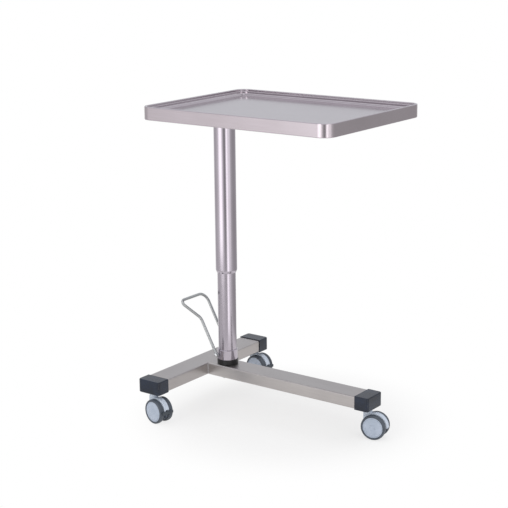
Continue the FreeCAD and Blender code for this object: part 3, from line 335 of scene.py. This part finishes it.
dressNodes()
print("materials made:", len(bpy.data.materials))


# Modelling helpers: pick things by their place, then use the edit-mode operators
def leaveEdit():
    if bpy.context.mode != "OBJECT":
        bpy.ops.object.mode_set(mode="OBJECT")


def startPiece(name, primitive, **settings):
    leaveEdit()
    bpy.ops.object.select_all(action="DESELECT")
    getattr(bpy.ops.mesh, "primitive_%s_add" % primitive)(**settings)
    piece = bpy.context.object
    piece.name = piece.data.name = name
    bpy.ops.object.transform_apply(location=True, rotation=True, scale=True)
    bpy.ops.object.mode_set(mode="EDIT")
    bpy.ops.mesh.select_mode(type="VERT")
    bpy.ops.mesh.select_all(action="SELECT")
    return piece


# A plain block in edit mode, from its lowest corner to its highest
def startBlock(name, low, high):
    middle = (Vector(low) + Vector(high)) / 2
    block = startPiece(name, "cube", size=1, location=middle)
    bpy.ops.transform.resize(value=Vector(high) - Vector(low), center_override=middle)
    return block


def pick(piece, kind, test):
    bpy.ops.mesh.select_mode(type=kind)
    bpy.ops.mesh.select_all(action="DESELECT")
    mesh = bmesh.from_edit_mesh(piece.data)
    mesh.normal_update()
    items = {"VERT": mesh.verts, "EDGE": mesh.edges, "FACE": mesh.faces}[kind]
    chosen = [item for item in items if test(item)]
    if not chosen:
        raise RuntimeError("nothing picked on " + piece.name)
    for item in chosen:
        item.select_set(True)
    mesh.select_flush_mode()
    bmesh.update_edit_mesh(piece.data)


touch = 1e-5   # metres within which two places count as one


# How far an edge runs along one axis, and how sharply it folds
def runs(edge, axis):
    return abs(getattr(edge.verts[0].co, axis) - getattr(edge.verts[1].co, axis))


def folds(edge):
    return edge.calc_face_angle() if len(edge.link_faces) == 2 else 0


def closeSeams(gap=touch):
    bpy.ops.mesh.select_mode(type="VERT")
    bpy.ops.mesh.select_all(action="SELECT")
    bpy.ops.mesh.remove_doubles(threshold=gap)
    bpy.ops.mesh.normals_make_consistent(inside=False)


def applyModifier(piece, kind, **settings):
    leaveEdit()
    modifier = piece.modifiers.new(kind.lower(), kind)
    for name, value in settings.items():
        setattr(modifier, name, value)
    bpy.context.view_layer.objects.active = piece
    bpy.ops.object.modifier_apply(modifier=modifier.name)


def cutAway(piece, low, high):
    block = startBlock("cut", low, high)
    applyModifier(piece, "BOOLEAN", operation="DIFFERENCE", object=block, solver="EXACT")
    bpy.data.objects.remove(block)


def finishPiece(piece, material, angle=35):
    leaveEdit()
    bpy.ops.object.select_all(action="DESELECT")
    piece.select_set(True)
    bpy.context.view_layer.objects.active = piece
    bpy.ops.object.transform_apply(location=True, rotation=True, scale=True)
    bpy.ops.object.shade_smooth_by_angle(angle=math.radians(angle))
    # flat faces reflect as flat, right up to their rounded edges
    applyModifier(piece, "WEIGHTED_NORMAL", keep_sharp=True)
    piece.data.materials.clear()
    piece.data.materials.append(material)
    return piece


def fitPiece(piece, body, slotName, *nodes):
    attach(piece, body)
    if nodes:
        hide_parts(*nodes)


def copyPiece(piece, name, place):
    copy = piece.copy()
    copy.data = piece.data.copy()
    copy.name = copy.data.name = name
    copy.data.transform(place)
    scene.collection.objects.link(copy)
    return copy


def joinPieces(name, pieces):
    leaveEdit()
    bpy.ops.object.select_all(action="DESELECT")
    for piece in pieces:
        piece.select_set(True)
    bpy.context.view_layer.objects.active = pieces[0]
    bpy.ops.object.join()
    pieces[0].name = pieces[0].data.name = name
    return pieces[0]


# A turned piece: one point is drawn out along the profile, (radius, place along the axis), and spun round
def turnPiece(name, profile, centre=(0, 0, 0), axis=(0, 0, 1), steps=96):
    axis, centre = Vector(axis), Vector(centre)
    outward = axis.orthogonal().normalized()
    points = [centre + outward * radius + axis * along for radius, along in profile]
    piece = startPiece(name, "plane", size=0.002, location=points[0])
    bpy.ops.mesh.merge(type="CENTER")
    for before, after in zip(points, points[1:]):
        bpy.ops.mesh.extrude_vertices_move(TRANSFORM_OT_translate={"value": after - before})
    bpy.ops.mesh.select_all(action="SELECT")
    bpy.ops.mesh.spin(steps=steps, angle=2 * math.pi, center=centre, axis=axis)
    closeSeams()
    return piece


# Points of a quarter circle, from along the axis to across it: (share across, share along)
def quarter(steps):
    turns = [math.radians(90 * step / steps) for step in range(steps + 1)]
    return [(math.cos(turn), math.sin(turn)) for turn in turns]


def findJoint(name):
    return next(joint for joint in frame["joints"] if joint["name"] == name)


# Pressed tray: one sheet, with a rolled rim, a dropped ledge, a stepped floor and a folded skirt
tray = {"corner": 0.038, "cornerSteps": 14, "rim": 0.009, "drop": 0.008, "ledge": 0.022, "fall": 0.003,
        "step": 0.002, "sheet": 0.0015, "edgeRound": 0.0022, "edgeSteps": 4, "hem": 0.0125, "foldFrom": 0.9}


def makeTray():
    low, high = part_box("tray")
    size, middle = high - low, (high + low) / 2
    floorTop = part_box("front_channel")[1].z + tray["sheet"]
    piece = startPiece("pressedTray", "plane", size=1, location=(middle.x, middle.y, high.z))
    bpy.ops.transform.resize(value=(size.x, size.y, 1), center_override=(middle.x, middle.y, high.z))
    bpy.ops.mesh.bevel(offset=tray["corner"], segments=tray["cornerSteps"], affect="VERTICES")
    bpy.ops.mesh.select_mode(type="FACE")
    bpy.ops.mesh.select_all(action="SELECT")
    bpy.ops.mesh.inset(thickness=tray["rim"])
    bpy.ops.mesh.extrude_region_move(TRANSFORM_OT_translate={"value": (0, 0, -tray["drop"])})
    bpy.ops.mesh.inset(thickness=tray["ledge"])
    bpy.ops.transform.translate(value=(0, 0, -tray["fall"]))
    bpy.ops.mesh.inset(thickness=tray["step"])
    bpy.ops.transform.translate(value=(0, 0, floorTop - (high.z - tray["drop"] - tray["fall"])))
    pick(piece, "EDGE", lambda edge: edge.is_boundary)
    bpy.ops.mesh.extrude_edges_move(TRANSFORM_OT_translate={"value": (0, 0, -size.z)})
    bpy.ops.mesh.extrude_edges_move(TRANSFORM_OT_translate={"value": (0, 0, 0)})
    shrink = (1 - 2 * tray["hem"] / size.x, 1 - 2 * tray["hem"] / size.y, 1)
    bpy.ops.transform.resize(value=shrink, center_override=(middle.x, middle.y, low.z))
    pick(piece, "EDGE", lambda edge: folds(edge) > tray["foldFrom"])
    bpy.ops.mesh.bevel(offset=tray["edgeRound"], segments=tray["edgeSteps"], affect="EDGES")
    applyModifier(piece, "SOLIDIFY", thickness=tray["sheet"], offset=-1)
    finishPiece(piece, traySteel, 40)
    fitPiece(piece, "top", "tray_sheet", "tray")
    print("tray pressed:", len(piece.data.polygons), "faces, box", [round(v, 4) for v in piece.dimensions])


makeTray()

# Column tubes, pedal collar and cover ring, all turned about the column's axis
column = {
    "steps": 128, "wall": 0.002, "topRound": 0.0006,
    # the swaged foot of the upper tube: how far it draws in and how high, its bend as shares of both, and its lip
    "swage": 0.0032, "swageHeight": 0.010, "bend": ((0.45, 0.42), (0.10, 0.8)),
    "lip": 0.0306, "lipRise": 0.0022, "lipRound": 0.0008, "shoulder": 0.003, "seat": 0.002,
    "innerWall": 0.0025, "innerRound": 0.0005,
    "collarFit": 0.00005, "collarChamfer": 0.0012,
    "ringFit": 0.0002, "ringMouth": 0.0012, "ringRound": 0.0022, "ringSteps": 5, "ringFoot": 0.0008,
}


def turnOnColumn(name, profile, material, body, slotName, node):
    low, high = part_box("upper_column_tube")
    axis = ((low.x + high.x) / 2, (low.y + high.y) / 2, 0)
    piece = finishPiece(turnPiece(name, profile, axis, steps=column["steps"]), material)
    fitPiece(piece, body, slotName, node)


def makeColumn():
    low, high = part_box("upper_column_tube")
    radius, lip, rim = (high.x - low.x) / 2, column["lip"], column["topRound"]
    bore, swage, neck = radius - column["wall"], column["swage"], column["swageHeight"]
    bend = [(radius - swage * inward, low.z + neck * upward) for inward, upward in column["bend"]]
    turnOnColumn("upperColumnTube", [
        (lip, low.z + column["lipRise"]), (lip + column["lipRound"], low.z), (radius - swage, low.z), *bend,
        (radius, low.z + neck), (radius, high.z - rim), (radius - rim, high.z), (bore, high.z),
        (bore, low.z + neck + column["shoulder"]), (lip, low.z + neck + column["seat"]),
        (lip, low.z + column["lipRise"])], columnSteel, "top", "column_tube", "upper_column_tube")

    low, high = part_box("lower_column_tube")
    radius, rim = (high.x - low.x) / 2, column["innerRound"]
    bore = radius - column["innerWall"]
    turnOnColumn("lowerColumnTube", [
        (bore, low.z), (radius, low.z), (radius, high.z - rim), (radius - rim, high.z), (bore, high.z),
        (bore, low.z)], rodTubeSteel, "base", "column_tube", "lower_column_tube")

    low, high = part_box("pedal_collar")
    bore, radius, chamfer = radius + column["collarFit"], (high.x - low.x) / 2, column["collarChamfer"]
    turnOnColumn("pedalCollar", [
        (bore, low.z), (radius - chamfer / 2, low.z), (radius, low.z + chamfer / 2), (radius, high.z - chamfer),
        (radius - chamfer, high.z), (bore, high.z), (bore, low.z)],
        columnSteel, "base", "column_tube", "pedal_collar")

    low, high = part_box("cover_ring")
    radius, corner, foot = (high.x - low.x) / 2, column["ringRound"], column["ringFoot"]
    bore, mouth = bore + column["ringFit"], column["ringMouth"]
    shoulder = [(radius - corner + corner * across, high.z - corner + corner * along)
                for across, along in quarter(column["ringSteps"])[1:]]
    turnOnColumn("coverRing", [
        (bore, low.z), (radius - foot, low.z), (radius, low.z + foot), (radius, high.z - corner), *shoulder,
        (bore + mouth, high.z), (bore, high.z - mouth), (bore, low.z)],
        ringPlastic, "base", "black_plastic", "cover_ring")
    print("column turned")


makeColumn()

# End caps: one box with rounded end corners and a rolled mouth, copied to the three tube ends
cap = {"wall": 0.0024, "corner": 0.0085, "cornerSteps": 7, "edge": 0.003, "edgeSteps": 4,
       "mouth": (0.45, 0.5)}   # the mouth's two insets are shares of the wall


def makeCaps():
    low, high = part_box("right_end_cap")
    size, middle = high - low, Vector(((low.x + high.x) / 2, 0, (low.z + high.z) / 2))
    piece = startPiece("endCap", "cube", size=1, location=middle)
    bpy.ops.transform.resize(value=size, center_override=middle)
    pick(piece, "EDGE", lambda edge: runs(edge, "z") > size.z / 2 and edge.verts[0].co.x > high.x - touch)
    bpy.ops.mesh.bevel(offset=cap["corner"], segments=cap["cornerSteps"], affect="EDGES")
    # the edges round top and bottom, but for the mouth's own
    pick(piece, "EDGE", lambda edge: runs(edge, "z") < touch and any(v.co.x > low.x + touch for v in edge.verts)
         and sum(abs(face.normal.z) < 0.5 for face in edge.link_faces) == 1)
    bpy.ops.mesh.bevel(offset=cap["edge"], segments=cap["edgeSteps"], affect="EDGES")
    pick(piece, "FACE", lambda face: face.normal.x < -0.9)
    for share in cap["mouth"]:
        bpy.ops.mesh.inset(thickness=cap["wall"] * share)
    bpy.ops.mesh.extrude_region_move(TRANSFORM_OT_translate={"value": (size.x - cap["wall"], 0, 0)})
    finishPiece(piece, capPlastic, 40)
    for name, way in (("left", -1), ("back", 1)):
        lowEnd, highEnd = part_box(name + "_end_cap")
        end = (lowEnd.y if way < 0 else highEnd.y)
        place = (Matrix.Translation(((lowEnd.x + highEnd.x) / 2, end, 0))
                 @ Matrix.Rotation(math.radians(90 * way), 4, "Z") @ Matrix.Translation((-high.x, 0, 0)))
        fitPiece(copyPiece(piece, name + "EndCap", place), "base", "cap_plastic", name + "_end_cap")
    piece.name = piece.data.name = "rightEndCap"
    fitPiece(piece, "base", "cap_plastic", "right_end_cap")
    print("end caps moulded")


makeCaps()

# Castors: every part is made once at a stem on the origin, trailing along X, and copied to the three stems
castor = {
    "steps": 72, "tyreGap": 0.0004, "lip": 0.002,
    "hoodRound": 0.0018, "crownInset": 0.0034, "crownLip": 0.0004, "crownDepth": 0.0007,
    "neck": 0.013, "neckRound": 0.0008, "roundSteps": 3,
    # wheel core: back face, boss, rim and the recess behind it
    "hub": 0.033, "bore": 0.0042, "boss": 0.009, "back": 0.0003, "wall": 0.0062, "rimWall": 0.0026,
    "rimSlope": 0.0025, "recess": 0.0015,
    # cover disc, each radius with its depth under the face; the edge counts inwards from the hub instead
    "edge": ((0.0001, 0.0020), (0.0006, 0.0014)),
    "groove": ((0.0297, 0.0010), (0.0293, 0.0016), (0.0289, 0.0009)),
    "crown": ((0.0240, 0.0005), (0.0160, 0.0002)),
    "cap": ((0.0091, 0.0001), (0.0088, 0.0006), (0.0085, 0.0001)), "middle": ((0.00425, 0), (0.00001, 0)),
    "tyreRound": 0.0042, "tyreSteps": 6, "tyreCrown": 0.0004,
    "tyreLip": 0.0012, "tyreMouth": ((0.6, 0.0006), (0, 0.0008)),   # share of the lip, and depth
}
brake = {
    "pinReach": 0.0325, "pinRise": 0.003, "pinBore": 0.00205, "eye": 0.005, "eyeRound": 0.0006, "eyeSteps": 48,
    "arm": 0.012, "armStart": 0.001, "armDepth": 0.0044, "armRound": 0.0008, "slotGap": 0.0003,
    "bar": 0.006, "barHeight": 0.010, "barRound": 0.0022, "barCuts": 6, "barGap": 0.0013,
}


def castorPlace(name):
    stem = findJoint(name + "_castor_swivel")["pos_m"]
    axle = findJoint(name + "_near_wheel_roll")["axis"]
    return Matrix.Translation((stem[0], stem[1], 0)) @ Matrix.Rotation(math.atan2(-axle[0], axle[1]), 4, "Z")


def localBox(node, place):
    back = place.inverted()
    corners = [back @ v.co for v in frame["nodes"][node].data.vertices]
    return [Vector([end(corner[i] for corner in corners) for i in range(3)]) for end in (min, max)]


def makeHood(place, braked):
    low, high = localBox("right_castor_hood", place)
    tyreLow, tyreHigh = localBox("right_castor_tyre_far", place)
    wheelX, wheelZ = (tyreLow.x + tyreHigh.x) / 2, (tyreLow.z + tyreHigh.z) / 2
    wheelRadius, half = (tyreHigh.z - tyreLow.z) / 2, tyreLow.y - castor["tyreGap"]
    lip, neck, neckRound = castor["lip"], castor["neck"], castor["neckRound"]
    hood = startPiece("castorHood", "cylinder", vertices=castor["steps"], radius=high.x - wheelX, depth=half * 2,
                      location=(wheelX, 0, wheelZ), rotation=(math.pi / 2, 0, 0))
    bpy.ops.mesh.bisect(plane_co=(wheelX, 0, wheelZ - lip), plane_no=(0, 0, 1), use_fill=True, clear_inner=True)
    pick(hood, "FACE", lambda face: abs(face.normal.y) < 0.1 and face.calc_center_median().z > wheelZ + 2 * lip)
    bpy.ops.mesh.inset(thickness=castor["crownInset"], depth=0)
    bpy.ops.mesh.inset(thickness=castor["crownLip"], depth=-castor["crownDepth"])
    # the rim of each side face, above the axle
    pick(hood, "EDGE", lambda edge: all(abs(abs(v.co.y) - half) < touch for v in edge.verts)
         and runs(edge, "y") < half and max(v.co.z for v in edge.verts) > wheelZ)
    bpy.ops.mesh.bevel(offset=castor["hoodRound"], segments=castor["roundSteps"], affect="EDGES")
    neckLow, neckTop = wheelZ + wheelRadius + castor["tyreGap"], high.z
    stub = turnPiece("castorNeck", [(0, neckLow), (neck, neckLow), (neck, neckTop - neckRound),
                                    (neck - neckRound, neckTop), (0, neckTop)], steps=castor["steps"])
    shank = startBlock("castorShank", (-neck, -half, wheelZ + lip), (neck, half, neckLow + lip))
    pick(shank, "EDGE", lambda edge: runs(edge, "z") > lip)
    bpy.ops.mesh.bevel(offset=castor["hoodRound"], segments=castor["roundSteps"], affect="EDGES")
    for other in (shank, stub):
        applyModifier(hood, "BOOLEAN", operation="UNION", object=other, solver="EXACT")
        bpy.data.objects.remove(other)
    if braked:
        # a slot for the lever's arm, and room in front for its bar
        pinX, pinZ = wheelX + brake["pinReach"], wheelZ + brake["pinRise"]
        beyond, slot = wheelX + wheelRadius * 2, brake["arm"] / 2 + brake["slotGap"]
        cutAway(hood, (pinX - brake["eye"] - lip, -slot, 0), (beyond, slot, pinZ + brake["eye"] + lip))
        cutAway(hood, (wheelX + wheelRadius + brake["barGap"] - lip, -half * 2, 0),
                (beyond, half * 2, pinZ + brake["pinRise"] + lip))
    return finishPiece(hood, hoodNylonPaintedPaler, 32)


def makeWheel(place):
    low, high = localBox("right_castor_tyre_far", place)
    centre = Vector(((low.x + high.x) / 2, 0, (low.z + high.z) / 2))
    near, far, radius, seat = low.y, high.y, (high.z - low.z) / 2, castor["hub"]
    back, inside, rim = near + castor["back"], near + castor["recess"], seat - castor["rimWall"]
    edge = [(seat - inward, far - depth) for inward, depth in castor["edge"]]
    face = [(reach, far - depth) for name in ("groove", "crown", "cap", "middle")
            for reach, depth in castor[name]]
    cover = turnPiece("wheelCover", [
        (castor["bore"], back), (castor["boss"], back), (castor["boss"], far - castor["wall"]),
        (rim - castor["rimSlope"], far - castor["wall"]), (rim, inside), (edge[0][0], inside), *edge, *face],
        centre, (0, 1, 0), castor["steps"])
    finishPiece(cover, castorPlastic, 32)
    corner, lip = castor["tyreRound"], castor["tyreLip"]
    tread = radius - castor["tyreCrown"] - corner
    bend = [(tread + corner * along, corner - corner * across) for across, along in quarter(castor["tyreSteps"])]
    nearBend = [(reach, near + depth) for reach, depth in bend]
    farBend = [(reach, far - depth) for reach, depth in reversed(bend)]
    mouth = [(seat + lip * share, far - depth) for share, depth in castor["tyreMouth"]]
    tyre = turnPiece("wheelTyre", [
        (seat, near), (seat + lip, near), *nearBend, (radius, (near + far) / 2), *farBend,
        (seat + lip, far), *mouth, (seat, near)], centre, (0, 1, 0), castor["steps"])
    finishPiece(tyre, tyreRubber, 32)
    return cover, tyre


def makeBrake(place):
    low, high = localBox("left_castor_brake_lever", place)
    tyreLow, tyreHigh = localBox("left_castor_tyre_far", place)
    pinX = (tyreLow.x + tyreHigh.x) / 2 + brake["pinReach"]
    pinZ = (tyreLow.z + tyreHigh.z) / 2 + brake["pinRise"]
    eye, eyeRound, bore, half = brake["eye"], brake["eyeRound"], brake["pinBore"], brake["arm"] / 2
    bar = startBlock("brakeBar", (high.x - brake["bar"], low.y, high.z - brake["barHeight"]), high)
    pick(bar, "FACE", lambda face: face.normal.x > 0.9)
    bpy.ops.mesh.inset(thickness=brake["barRound"])
    bpy.ops.mesh.subdivide(number_cuts=brake["barCuts"])
    pick(bar, "EDGE", lambda edge: folds(edge) > 1.2)
    bpy.ops.mesh.bevel(offset=brake["barRound"], segments=4, affect="EDGES")
    ring = turnPiece("brakeEye", [
        (bore, -half), (eye - eyeRound, -half), (eye, eyeRound - half), (eye, half - eyeRound),
        (eye - eyeRound, half), (bore, half), (bore, -half)], (pinX, 0, pinZ), (0, 1, 0), brake["eyeSteps"])
    arm = startBlock("brakeArm", (pinX + bore + brake["armStart"], -half, pinZ - eye),
                     (high.x - brake["bar"] / 2, half, pinZ - eye + brake["armDepth"]))
    pick(arm, "EDGE", lambda edge: runs(edge, "x") > brake["armRound"])
    bpy.ops.mesh.bevel(offset=brake["armRound"], segments=2, affect="EDGES")
    return finishPiece(joinPieces("brakeLever", [bar, ring, arm]), brakePlastic, 40)


def makeCastors():
    sample = castorPlace("right")
    hoods = {False: makeHood(sample, False), True: makeHood(sample, True)}
    cover, tyre = makeWheel(sample)
    lever = makeBrake(castorPlace("left"))
    mirrored = Matrix.Rotation(math.pi, 4, "Z")
    for name, braked in (("right", False), ("left", True), ("back", True)):
        place, node = castorPlace(name), name + "_castor"
        fitPiece(copyPiece(hoods[braked], name + "CastorHood", place), node, "castor_plastic", node + "_hood")
        for side in ("near", "far"):
            low, high = localBox(f"{node}_tyre_{side}", place)
            wheelX = (low.x + high.x) / 2
            turn = Matrix.Translation((wheelX, 0, 0)) @ mirrored @ Matrix.Translation((-wheelX, 0, 0))
            spot = place @ turn if side == "near" else place
            body, title = f"{name}_{side}_wheel", name + side.title()
            fitPiece(copyPiece(cover, title + "Cover", spot), body, "castor_plastic", f"{node}_wheel_{side}")
            fitPiece(copyPiece(tyre, title + "Tyre", spot), body, "tyre", f"{node}_tyre_{side}")
        if braked:
            fitPiece(copyPiece(lever, name + "BrakeLever", place), name + "_brake", "brake_plastic",
                     node + "_brake_lever")
    for piece in (*hoods.values(), cover, tyre, lever):
        bpy.data.objects.remove(piece)
    print("castors copied to three stems")


makeCastors()

# Foot pedal: one rod bent round formers, with a flattened eye at each foot, on a shaft with two domed buttons
pedal = {
    "rod": 0.00475, "sides": 20, "lean": 28.4, "leg": 0.03454, "legStart": 0.004, "length": 0.2075,
    "kink": 0.1317, "flare": 0.066, "corners": (0.033, 0.0105, 0.030), "bendSteps": 12,
    "eyeRadius": 0.008, "eyeWidth": 0.007, "eyeBore": 0.00405, "eyeRound": 0.0012, "eyeSteps": 48,
    "buttonRadius": 0.0062, "buttonRise": 0.0034, "buttonGap": 0.0002, "buttonFoot": 0.0006,
    "buttonSteps": 40, "domeSteps": 6,
}


def makePivotButtons():
    low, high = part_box("pedal_shaft")
    radius, gap, foot = pedal["buttonRadius"], pedal["buttonGap"], pedal["buttonFoot"]
    dome = [(radius * across, foot + pedal["buttonRise"] * along)
            for across, along in quarter(pedal["domeSteps"])]
    buttons = []
    for end, out in ((low.y, -1), (high.y, 1)):
        centre = ((low.x + high.x) / 2, end, (low.z + high.z) / 2)
        buttons.append(turnPiece("shaftButton", [(0, gap), (radius - foot, gap), *dome], centre, (0, out, 0),
                                 pedal["buttonSteps"]))
    piece = finishPiece(joinPieces("shaftButtons", buttons), buttonSteel, 40)
    fitPiece(piece, "pedal", "fastener_steel")


def makePedal():
    pivot = findJoint("pedal_press")["pos_m"]
    leg, length, start = pedal["leg"], pedal["length"], pedal["legStart"]
    points = [Vector((0, leg, start)), Vector((0, leg, length)), Vector((0, -leg - pedal["flare"], length)),
              Vector((0, -leg, pedal["kink"])), Vector((0, -leg, start))]
    rod = startPiece("pedalRod", "circle", vertices=pedal["sides"], radius=pedal["rod"], location=points[0])
    place = points[0]
    for before, corner, after, radius in zip(points, points[1:], points[2:], pedal["corners"]):
        arrive, leave = (corner - before).normalized(), (after - corner).normalized()
        bend = arrive.angle(leave)
        tangent = radius * math.tan(bend / 2)
        bendStart = corner - arrive * tangent
        bpy.ops.mesh.extrude_region_move(TRANSFORM_OT_translate={"value": bendStart - place})
        turnAxis = arrive.cross(leave).normalized()
        bpy.ops.mesh.spin(steps=pedal["bendSteps"], angle=-bend, axis=turnAxis,
                          center=bendStart + turnAxis.cross(arrive) * radius)
        place = corner + leave * tangent
    bpy.ops.mesh.extrude_region_move(TRANSFORM_OT_translate={"value": points[-1] - place})
    closeSeams()
    half, bore, outer, corner = pedal["eyeWidth"] / 2, pedal["eyeBore"], pedal["eyeRadius"], pedal["eyeRound"]
    eyes = [turnPiece("pedalEye", [
        (bore, -half), (outer - corner, -half), (outer, -half + corner), (outer, half - corner),
        (outer - corner, half), (bore, half), (bore, -half)], (0, side * leg, 0), (0, 1, 0), pedal["eyeSteps"])
        for side in (1, -1)]
    piece = joinPieces("footPedal", [rod] + eyes)
    piece.data.transform(Matrix.Translation(pivot) @ Matrix.Rotation(-math.radians(pedal["lean"]), 4, "Y"))
    finishPiece(piece, pedalSteel, 40)
    fitPiece(piece, "pedal", "pedal_rod", "foot_pedal")
    makePivotButtons()
    print("pedal bent, box", [round(v, 4) for v in piece.dimensions])


makePedal()

# Return spring of the pump plunger: square wire wound in a coil, which on the real pump shortens as the pedal is
# pressed; here it is wound at one fixed length
spring = {"wire": 0.0014, "turns": 4, "steps": 40, "closed": 0.0003}


def makeSpring():
    low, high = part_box("plunger_spring")
    wire, outer, length = spring["wire"], (high.x - low.x) / 2, high.z - low.z
    piece = startPiece("returnSpring", "plane", size=wire, location=(outer - wire / 2, 0, wire / 2),
                       rotation=(math.pi / 2, 0, 0))
    bpy.ops.mesh.delete(type="ONLY_FACE")
    applyModifier(piece, "SCREW", axis="Z", angle=2 * math.pi, screw_offset=(length - wire) / spring["turns"],
                  iterations=spring["turns"], steps=spring["steps"], render_steps=spring["steps"])
    bpy.ops.object.mode_set(mode="EDIT")
    closeSeams()
    pick(piece, "EDGE", lambda edge: edge.is_boundary)
    bpy.ops.mesh.fill_holes(sides=4)
    bpy.ops.mesh.normals_make_consistent(inside=False)
    leaveEdit()
    top = Vector(((low.x + high.x) / 2, (low.y + high.y) / 2, high.z))
    piece.data.transform(Matrix.Translation(top - Vector((0, 0, length))))
    finishPiece(piece, platedSteel)
    fitPiece(piece, "base", "fastener_steel", "plunger_spring")
    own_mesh(piece)
    print("spring wound, box", [round(v, 4) for v in piece.dimensions])


makeSpring()

# Weld beads down the two inner corners of the T
weld = {"radius": 0.0021, "sides": 16, "ripple": 0.0022, "waist": 0.86, "cuts": 14, "inset": 0.003}


def makeWelds():
    low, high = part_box("cross_base_tube")
    longLow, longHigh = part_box("long_base_tube")
    top, bottom = high.z - weld["inset"], low.z + weld["inset"]
    beads = []
    for side in (longLow.y, longHigh.y):
        middle = (high.x, side, (top + bottom) / 2)
        bead = startPiece("cornerBead", "cylinder", vertices=weld["sides"], radius=weld["radius"],
                          depth=top - bottom, location=middle)
        bpy.ops.mesh.bisect(plane_co=middle, plane_no=(0, 0, 1))
        pick(bead, "EDGE", lambda edge: runs(edge, "z") > weld["radius"])
        bpy.ops.mesh.subdivide(number_cuts=weld["cuts"])
        pick(bead, "VERT", lambda vert: round((vert.co.z - bottom) / weld["ripple"]) % 2 == 0)
        bpy.ops.transform.resize(value=(weld["waist"], weld["waist"], 1), center_override=middle)
        beads.append(bead)
    piece = finishPiece(joinPieces("weldBeads", beads), turnedSteel, 60)
    fitPiece(piece, "base", "base_tube")
    print("corner welds laid")


makeWelds()
